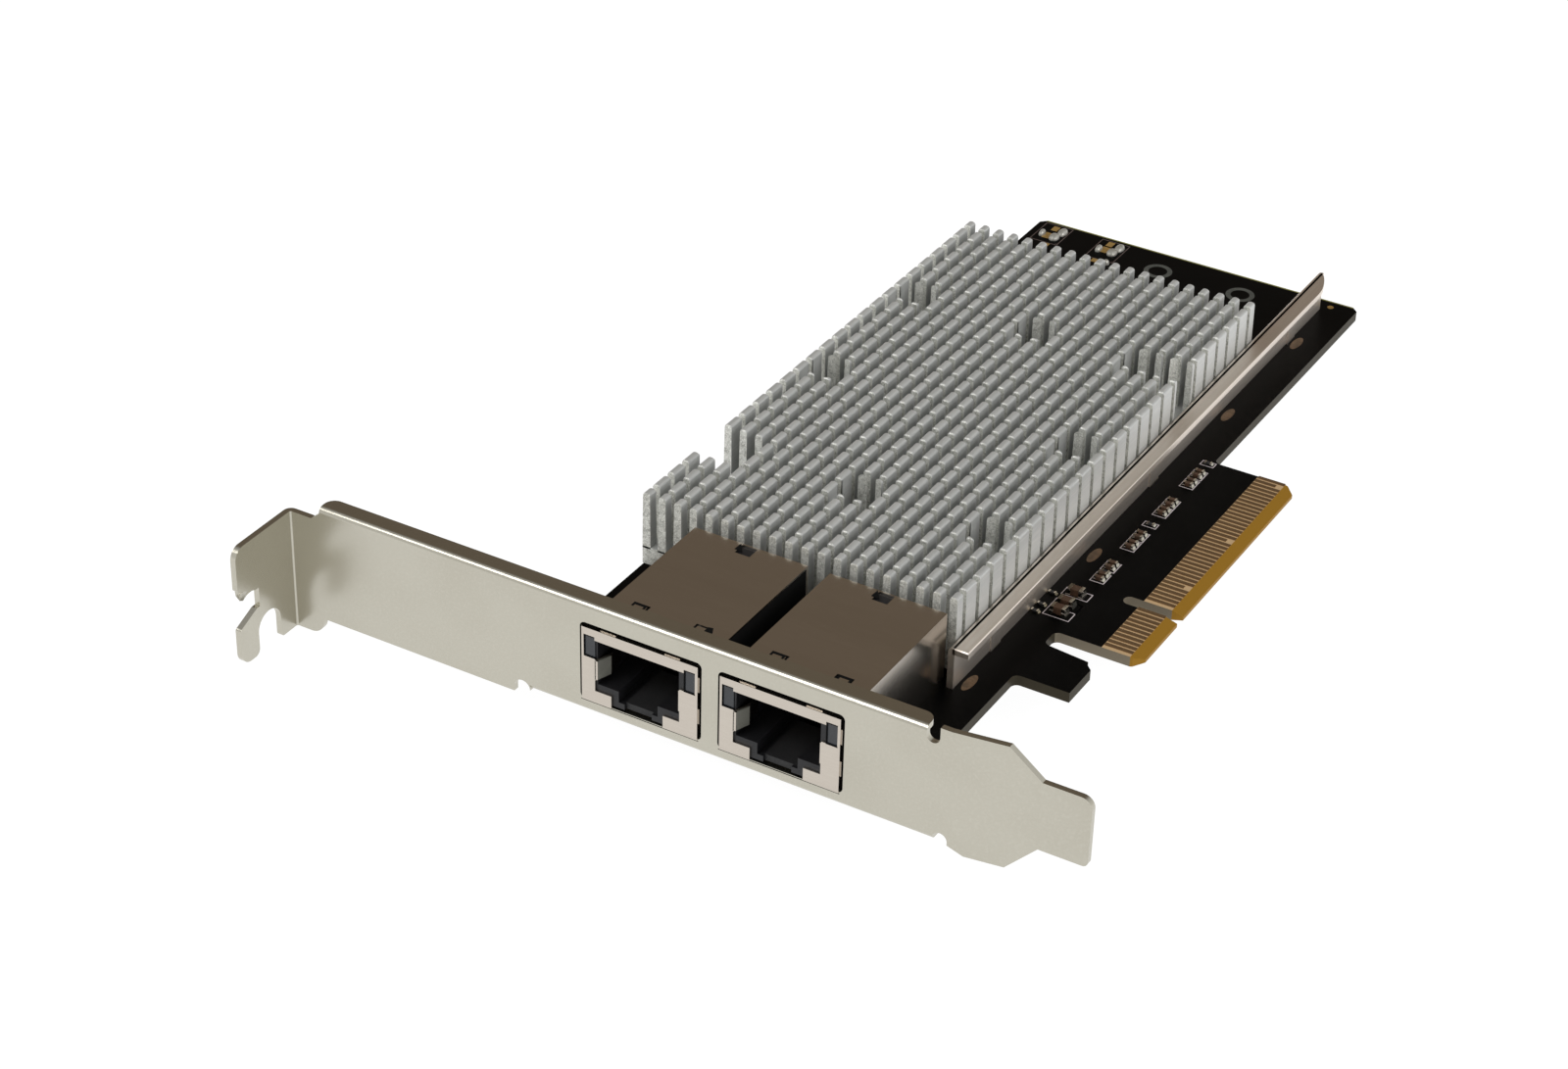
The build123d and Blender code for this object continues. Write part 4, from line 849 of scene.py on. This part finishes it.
@dataclass
class Rail:
    """The bent metal rail along the heat sink, with a flange that narrows to a point at its far end."""

    sheet: float = 0.95
    bend: float = 0.6
    bend_steps: int = 6
    shift_left: float = 0.12
    rise: float = 0.12
    edge_break: float = 0.13
    taper_run: float = 7.2
    taper_width: float = 2.42
    taper_power: float = 1.9
    taper_steps: int = 10
    tip_gap: float = 0.45
    tabs: int = 3
    tab_width: float = 3.0
    tab_inset: float = 12.0
    tab_reach: float = 0.7
    near_top: float = 0.01
    near_inner: float = 0.02

    def bent_strip(self, shape: Shape, left: float, top: float, y0: float, y1: float) -> None:
        """Adds the wall, which stands on the board, with its rounded upper edge.

        Args:
            shape: The mesh under construction.
            left: The wall's left side.
            top: Height of the flange's upper face.
            y0: Near end.
            y1: Far end.
        """
        floor = CARD.board_top()
        outline = [(left, floor)]
        for step in range(self.bend_steps + 1):
            turn = math.pi / 2 * step / self.bend_steps
            outline.append((left + self.bend * (1 - math.cos(turn)), top - self.bend * (1 - math.sin(turn))))
        outline += [(left + self.sheet, top), (left + self.sheet, floor)]
        add_skin(shape, [[shape.verts.new(CARD.at(x, y, z)) for x, z in outline] for y in (y0, y1)])

    def flange(self, shape: Shape, left: float, right: float, top: float, y0: float, y1: float) -> None:
        """Adds the flange, whose outer side curves in to the tip, with broken upper edges.

        Args:
            shape: The empty mesh under construction.
            left: The wall's left side.
            right: The flange's outer side.
            top: Height of its upper face.
            y0: Near end.
            y1: Far end.
        """
        inner = left + self.bend
        outline = [(inner, y0), (right, y0)]
        for step in range(self.taper_steps):
            share = step / self.taper_steps
            x = max(right - self.taper_width * share ** self.taper_power, inner)
            outline.append((x, y1 - self.taper_run * (1 - share)))
        outline.append((inner, y1 - self.tip_gap))
        add_prism(shape, outline, top - self.sheet, top)
        limit = CARD.at(inner + self.near_inner, 0, top - self.near_top)
        rims = [edge for edge in shape.edges
                if all(vert.co.z > limit.z for vert in edge.verts)
                and any(vert.co.x > limit.x for vert in edge.verts)]
        bmesh.ops.bevel(shape, geom=rims, offset=self.edge_break * MM, segments=1, affect="EDGES",
                        profile=0.5)

    def build(self) -> None:
        """Builds the rail along the frame's own rail, a little to the left of it and above it."""
        low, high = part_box("stiffener_rail")
        corner = CARD.corner()
        low, high = (low - corner) / MM, (high - corner) / MM
        left = low.x - self.shift_left
        top = high.z + self.rise
        shape = bmesh.new()
        self.flange(shape, left, high.x, top, low.y, high.y)
        self.bent_strip(shape, left, top, low.y, high.y - self.tip_gap)
        span = high.y - low.y - 2 * self.tab_inset
        under = (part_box("circuit_board")[0].z - corner.z) / MM - self.tab_reach
        half = self.tab_width / 2
        for index in range(self.tabs):
            y = low.y + self.tab_inset + span * index / (self.tabs - 1)
            add_box(shape, CARD.at(low.x, y - half, under),
                    CARD.at(low.x + self.sheet, y + half, top - self.sheet))
        finish_piece(shape, "rail_sheet", RAIL, "rail_steel", "stiffener_rail")


@dataclass
class Jack:
    """What the photograph shows in and on one jack besides its solids."""

    number: int
    slots: Span = (2.8, 12.6)
    slot_start: float = 6.75
    slot_width: float = 2.05
    slot_length: float = 1.35
    slot_line: float = 0.5
    opened_slot: tuple[Span, ...] = ((13.95, 7.03), (14.9, 6.89), (15.17, 7.23), (14.65, 8.33),
                                                    (13.95, 8.17))
    top_film: float = 0.012
    film_in: float = 0.05
    slot_side: float = 0.7
    slot_step: float = 0.2
    width: float = 17.6
    shell_top: float = 13.5
    window_low: float = 2.0
    window_high: float = 14.0
    ring_gap: float = 0.02
    ring_sheet: float = 0.25
    ring_lap: float = 0.5
    ring_over: float = 0.3
    bracket_sheet: float = 0.86
    ring_reach: float = 1.1
    plateau: Place = (6.3, 12.3, 3.35)
    plateau_span: Span = (0.5, 9.0)
    plateau_foot: float = 0.4
    leaf_height: Span = (5.85, 8.75)
    leaf_depth: float = 2.1
    leaf_lean: float = 0.75
    leaf_edge: float = 0.42
    leaf_sheet: float = 0.3
    leaf_wall: float = 0.2
    leaf_gap: float = 0.01
    port_left: float = 2.05
    front_film: float = 0.012
    line: float = 0.06
    line_depth: float = 0.2
    line_over: float = 0.1
    line_left: float = 0.02
    lower_line: float = 0.12
    lower_start: float = -0.3
    line_drop: float = 0.12
    rear_notch: tuple[Span, ...] = ((7.2, 25.75), (8.5, 25.65), (7.3, 27.4))
    wall_shade: Sides = (1.5, 27.0, 2.6, 13.2)
    pipe_starts: Span = (0.4, 15.6)
    pipe_width: float = 1.6
    pipe_heights: Span = (9.1, 12.4)
    pipe_foot: float = 0.08
    pipe_side: float = 0.07
    pipe_head: float = 0.14

    def box(self, shape: Shape, low: Place, high: Place) -> None:
        """Adds a box between two points given in millimetres."""
        add_box(shape, CARD.at(*low), CARD.at(*high))

    def piece(self, shape: Shape, name: str, finish: Finish, slot: str = "shell_steel") -> None:
        """Ends one of this jack's pieces."""
        finish_piece(shape, f"jack_{self.number}_{name}", finish, slot)

    def top_slots(self, left: float) -> None:
        """Painted shade: black films over the three-sided slots in the shell's top and the notch at its rear,
        and on the first jack's side wall between the jacks.
        """
        shape = bmesh.new()
        y0 = self.slot_start
        y1 = y0 + self.slot_length
        z0, z1 = self.shell_top - self.film_in, self.shell_top + self.top_film
        line = self.slot_line
        side = line * self.slot_side
        # Painted shade: black films where the slots and the notch open into the dark inside of the jack.
        for start in self.slots[:self.number]:
            x0 = left + start
            x1 = x0 + self.slot_width
            self.box(shape, (x0, y1 - line, z0), (x1, y1, z1))
            self.box(shape, (x0, y0, z0), (x0 + side, y1 - line, z1))
            self.box(shape, (x1 - side, y0 + self.slot_step, z0), (x1, y1 - line, z1))
        if self.number < len(self.slots):
            add_prism(shape, [(left + x, y) for x, y in self.opened_slot], z0, z1)
        add_prism(shape, [(left + x, y) for x, y in self.rear_notch], z0, z1)
        if self.number == 1:
            y0, y1, low, high = self.wall_shade
            x0 = left + self.width
            self.box(shape, (x0 - self.film_in, y0, low), (x0 + self.top_film, y1, high))
        self.piece(shape, "slots", SHADE)

    def window_ring(self, left: float) -> None:
        """A black sheet behind the bracket's window, painted shade in the gap around the jack."""
        shape = bmesh.new()
        y0 = self.bracket_sheet + self.ring_gap
        y1 = y0 + self.ring_sheet
        right = left + self.width
        low, high = self.window_low, self.window_high + self.ring_over
        self.box(shape, (left - self.ring_reach, y0, low), (left, y1, high))
        self.box(shape, (right, y0, low), (right + self.ring_reach, y1, high))
        self.box(shape, (left, y0, self.window_high - self.ring_lap), (right, y1, high))
        # Painted shade: this black sheet fills the gap between the bracket's window and the jack.
        self.piece(shape, "gasket", SHADE)

    def inside(self, left: float, front: float) -> None:
        """The lighter plateau on the floor of the port and the shield leaf at its left side."""
        shape = bmesh.new()
        x0, x1, top = self.plateau
        y0, y1 = self.plateau_span
        self.box(shape, (left + x0, y0, self.window_low + self.plateau_foot), (left + x1, y1, top))
        self.piece(shape, "plateau", PLATEAU, "black_moulding")
        x = left + self.port_left
        z0, z1 = self.leaf_height
        near_x = x + self.leaf_edge
        far_x = near_x + self.leaf_lean
        shape = bmesh.new()
        self.box(shape, (x + self.line, front, z0), (near_x, front + self.leaf_sheet, z1))
        self.piece(shape, "leaf", SHELL)
        # Painted light: the leaf's side face gets a lighter matt copy of the plated metal.
        shape = bmesh.new()
        outline = [(near_x, front + self.film_in), (far_x, front + self.leaf_depth),
                   (far_x - self.leaf_wall, front + self.leaf_depth),
                   (near_x - self.leaf_wall, front + self.leaf_sheet + self.leaf_gap)]
        add_prism(shape, outline, z0 + self.film_in, z1)
        self.piece(shape, "leaf_side", LIT_LEAF_SIDE)

    def lines(self, left: float, front: float) -> None:
        """Painted shade: thin black lines beside the leaf, under the shell and around the light pipes, where
        edges and gaps lie in shade.
        """
        # Each box is a thin black film of painted shade.
        shape = bmesh.new()
        thin, line, depth = self.front_film, self.line, front + self.line_depth
        x = left + self.port_left
        low, high = self.leaf_height
        self.box(shape, (x - self.line_left, front - thin, low - self.line_over),
                 (x + line, depth, high + self.line_over))
        low = self.window_low - self.line_drop
        self.box(shape, (left + self.lower_start, -thin, low - self.lower_line),
                 (left + self.width, self.film_in, low))
        low, high = self.pipe_heights
        for start in self.pipe_starts:
            x = left + start
            near = (x - line, front - thin)
            self.box(shape, (*near, low - self.pipe_foot), (x + self.pipe_width + line, depth, low + line))
            self.box(shape, (*near, low), (x + self.pipe_side, depth, high))
            self.box(shape, (*near, high - self.pipe_head), (x + self.pipe_width, depth, high))
        self.piece(shape, "lines", SHADE)

    def build(self) -> None:
        """Builds every addition of this jack."""
        low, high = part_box(f"jack_{self.number}_housing")
        middle = ((low + high) / 2 - CARD.corner()) / MM
        left = middle.x - self.width / 2
        front = ((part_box(f"jack_{self.number}_shell")[0] - CARD.corner()) / MM).y
        self.top_slots(left)
        self.window_ring(left)
        self.inside(left, front)
        self.lines(left, front)


@dataclass
class BoardSkin:
    """The board's own material: dark mask above and below, bare laminate at the rims and the card edge."""

    bare_from: float = 100.15
    edge_start: float = 45.4
    bevel_from: float = 104.4
    mask: Finish = Finish("solder_mask", (0.0016, 0.0016, 0.0016), (0.003, 0.0029, 0.0027),
                          (0.011, 0.0105, 0.010), 0.0, 0.34, 0.1, 260.0, 0.5, 5200.0, 0.12, 0.003,
                          specular=0.04)
    rim: Colour = (0.042, 0.036, 0.024)
    notch: Colour = (0.18, 0.155, 0.115)
    notch_from: float = 93.4
    bare: Colour = (0.52, 0.36, 0.20)
    bevel: Colour = (0.29, 0.152, 0.02)
    far_line: float = 0.3
    far_tone: Colour = (0.26, 0.25, 0.09)
    soft: float = 0.03
    far_soft: float = 0.04
    side_turn: Span = (0.5, 0.7)

    def build(self) -> Material:
        """Builds the board's material.

        Returns:
            The material.
        """
        material, colour = SHOP.build(self.mask)
        tree = material.node_tree
        place = add_node(tree, "ShaderNodeTexCoord").outputs["Object"]
        along = add_node(tree, "ShaderNodeSeparateXYZ", {0: place}).outputs

        def past(axis: str, limit: float, soft: float) -> Socket:
            """A mask that rises where a place along an axis passes a limit in metres."""
            return add_ramp(tree, along[axis], limit - soft * MM, limit + soft * MM)

        corner = CARD.corner().x
        card_edge = past("Y", CARD.at(0, self.edge_start, 0).y, self.soft)
        normal = add_node(tree, "ShaderNodeNewGeometry").outputs["Normal"]
        rise = add_node(tree, "ShaderNodeSeparateXYZ", {0: normal}).outputs["Z"]
        flat = add_math(tree, "SUBTRACT", 1.0, add_math(tree, "ABSOLUTE", rise))
        side = add_ramp(tree, flat, *self.side_turn)
        low, notch, bevel = (
            add_math(tree, "MULTIPLY", past("X", corner + start * MM, self.soft), card_edge)
            for start in (self.bare_from, self.notch_from, self.bevel_from))
        notch = add_math(tree, "MULTIPLY", side, notch)
        far = past("Y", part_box("circuit_board")[1].y - self.far_line * MM, self.far_soft)
        for mask, tone in ((low, self.bare), (far, self.far_tone), (side, self.rim), (notch, self.notch),
                           (bevel, self.bevel)):
            colour = colour_mix(tree, mask, colour, (*tone, 1.0))
        feed(tree, tree.nodes[SHADER], {"Base Color": colour})
        return material


@dataclass
class KeptNodes:
    """Finishes of the frame's own pieces that stay in view."""

    finishes: dict[str, Finish] = field(default_factory=lambda: {
        "bracket": NICKEL, "bracket_screws": STEEL, "edge_contacts": GOLD,
        "heat_sink_spacers": STEEL, "heat_sink_screws": STEEL,
        "controller_chip": PACKAGE, "thermal_pad": SOFT_PAD, "power_inductors": PACKAGE,
        "voltage_regulator": PACKAGE, "filter_capacitors": CERAMIC, "flash_memory": PACKAGE,
        "clock_crystal": TIN,
    })
    jack_finishes: dict[str, Finish] = field(default_factory=lambda: {
        "shell": SHELL, "housing": MOULDED, "light_pipes": LENS, "contacts": GOLD, "magnetics": MOULDED,
        "tails": TIN,
    })

    def dress(self, node: str, material: Material) -> None:
        """Gives one node its material."""
        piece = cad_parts[node]
        piece.data.materials.clear()
        piece.data.materials.append(material)
        LOG.info("%s wears %s", node, material.name)

    def build(self) -> None:
        """Dresses every node that stays."""
        for node, finish in self.finishes.items():
            self.dress(node, SHOP.get(finish))
        for number in (1, 2):
            for part, finish in self.jack_finishes.items():
                self.dress(f"jack_{number}_{part}", SHOP.get(finish))
        self.dress("circuit_board", BoardSkin().build())


@dataclass
class Studio:
    """Floor, light and camera."""

    position: Place = (252.447, -306.536, 265.526)
    right: Place = (0.86068, 0.50866, 0.02230)
    up: Place = (-0.29216, 0.45753, 0.83983)
    forward: Place = (-0.41699, 0.72934, -0.54239)
    focal_pixels: float = 3535.26
    photo_width: int = 1600
    sensor: float = 36.0
    clip: Span = (0.01, 50.0)
    floor_size: float = 6.0
    floor_drop: float = 0.05
    floor_roughness: float = 0.9
    floor_tone: Colour = (0.08, 0.08, 0.08)
    floor_glow: float = 0.97
    sky: Colour = (1.0, 0.995, 0.98)
    sky_strength: float = 0.84
    sky_heights: Span = (0.25, 1.0)
    sky_fall: Span = (1.0, 0.42)
    backdrop: Colour = (0.22, 0.18, 0.14)
    backdrop_axis: Place = (-0.43, 0.75, 0.50)
    backdrop_edge: Span = (0.70, 0.84)
    lamp_aim: Place = (60, 70, 5)
    lamps: tuple[tuple[str, Place, float, float], ...] = (("key_lamp", (-250, -450, 700), 0.34, 2.4),
                                                          ("side_lamp", (800, 150, 450), 0.4, 2.0))

    def camera(self) -> None:
        """Sets the camera where the photograph was taken from."""
        data = bpy.data.cameras.new("camera")
        data.sensor_width = self.sensor
        data.sensor_fit = "HORIZONTAL"
        data.lens = self.focal_pixels * self.sensor / self.photo_width
        data.clip_start, data.clip_end = self.clip
        camera = bpy.data.objects.new("camera", data)
        bpy.context.scene.collection.objects.link(camera)
        turn = Matrix((self.right, self.up, [-value for value in self.forward])).transposed()
        camera.matrix_world = Matrix.Translation(CARD.at(*self.position)) @ turn.to_4x4()
        bpy.context.scene.camera = camera

    def floor(self) -> None:
        """A plain pale floor under the card."""
        shape = bmesh.new()
        bmesh.ops.create_grid(shape, x_segments=1, y_segments=1, size=self.floor_size / 2)
        mesh = bpy.data.meshes.new("floor")
        shape.to_mesh(mesh)
        shape.free()
        floor = mesh_piece("floor", mesh)
        floor.location.z = -self.floor_drop * MM
        material = bpy.data.materials.new("floor")
        material.use_nodes = True
        tree = material.node_tree
        feed(tree, tree.nodes[SHADER], {
            "Base Color": (*self.floor_tone, 1.0), "Roughness": self.floor_roughness,
            "Emission Color": (1.0, 1.0, 1.0, 1.0), "Emission Strength": self.floor_glow,
        })
        mesh.materials.append(material)

    def world(self) -> None:
        """A bright room that darkens overhead, with one dark backdrop behind the card."""
        world = bpy.data.worlds.new("room")
        bpy.context.scene.world = world
        world.use_nodes = True
        tree = world.node_tree
        place = add_node(tree, "ShaderNodeTexCoord").outputs["Generated"]
        along = add_node(tree, "ShaderNodeVectorMath", {0: place, 1: Vector(self.backdrop_axis).normalized()},
                         operation="DOT_PRODUCT").outputs["Value"]
        behind = add_ramp(tree, along, *self.backdrop_edge, interpolation_type="SMOOTHSTEP")
        height = add_node(tree, "ShaderNodeSeparateXYZ", {0: place}).outputs["Z"]
        inputs = {"Value": height}
        inputs |= dict(zip(("From Min", "From Max", "To Min", "To Max"), self.sky_heights + self.sky_fall))
        fall = add_node(tree, "ShaderNodeMapRange", inputs).outputs["Result"]
        sky = add_node(tree, "ShaderNodeVectorMath", {0: self.sky, "Scale": fall}, operation="SCALE")
        colour = colour_mix(tree, behind, sky.outputs["Vector"], (*self.backdrop, 1.0))
        feed(tree, tree.nodes["Background"], {"Color": colour, "Strength": self.sky_strength})

    def softbox(self, name: str, place: Place, size: float, power: float) -> None:
        """One square lamp that looks at the card.

        Args:
            name: The lamp's name.
            place: Where it stands, in millimetres from the bracket's corner.
            size: Its side in metres.
            power: Its power in watts.
        """
        data = bpy.data.lights.new(name, "AREA")
        data.shape = "SQUARE"
        data.size = size
        data.energy = power
        lamp = bpy.data.objects.new(name, data)
        bpy.context.scene.collection.objects.link(lamp)
        start, end = CARD.at(*place), CARD.at(*self.lamp_aim)
        turn = (end - start).to_track_quat("-Z", "Y").to_matrix().to_4x4()
        lamp.matrix_world = Matrix.Translation(start) @ turn

    def build(self) -> None:
        """Builds the whole studio."""
        view = bpy.context.scene.view_settings
        view.view_transform = "Standard"
        view.look = "None"
        self.camera()
        self.floor()
        self.world()
        for name, place, size, power in self.lamps:
            self.softbox(name, place, size, power)


@dataclass
class EdgeParts:
    """The small parts along the card edge and where they stand, in millimetres from the corner."""

    pair_x: float = 92.6
    pair_spacing: float = 1.15
    bulk: tuple[Span, ...] = ((91.6, 50.5), (91.6, 52.7), (91.6, 55.7))
    small: tuple[Span, ...] = (
        (92.6, 62.75), (92.6, 77.2), (92.6, 96.65), (88.7, 49.0), (88.7, 50.9), (88.7, 54.2))
    pair_size: Place = (1.35, 0.68, 0.65)
    bulk_size: Place = (2.2, 1.3, 1.15)
    small_size: Place = (1.1, 0.55, 0.4)
    bulk_cap: float = 0.5
    small_cap: float = 0.25

    def build(self) -> None:
        """Builds the capacitors and the resistors."""
        pairs = [(self.pair_x, middle + side * self.pair_spacing)
                 for middle in BoardMarks.pair_middles for side in (-0.5, 0.5)]
        ChipParts("coupling_capacitor", "coupling_capacitors", pairs, self.pair_size, CERAMIC,
                  "ceramic_brown").build()
        ChipParts("bulk_capacitor", "bulk_capacitors", self.bulk, self.bulk_size, CERAMIC, "ceramic_brown",
                  cap=self.bulk_cap).build()
        ChipParts("resistor", "resistors", self.small, self.small_size, PACKAGE, "dark_package",
                  cap=self.small_cap).build()


def main() -> None:
    """Builds the scene in order."""
    logging.basicConfig(level=logging.INFO)
    KeptNodes().build()
    HeatSink().build()
    Rail().build()
    for number in (1, 2):
        Jack(number).build()
    EdgeParts().build()
    BoardMarks().build()
    Studio().build()


if __name__ == "__main__":
    main()
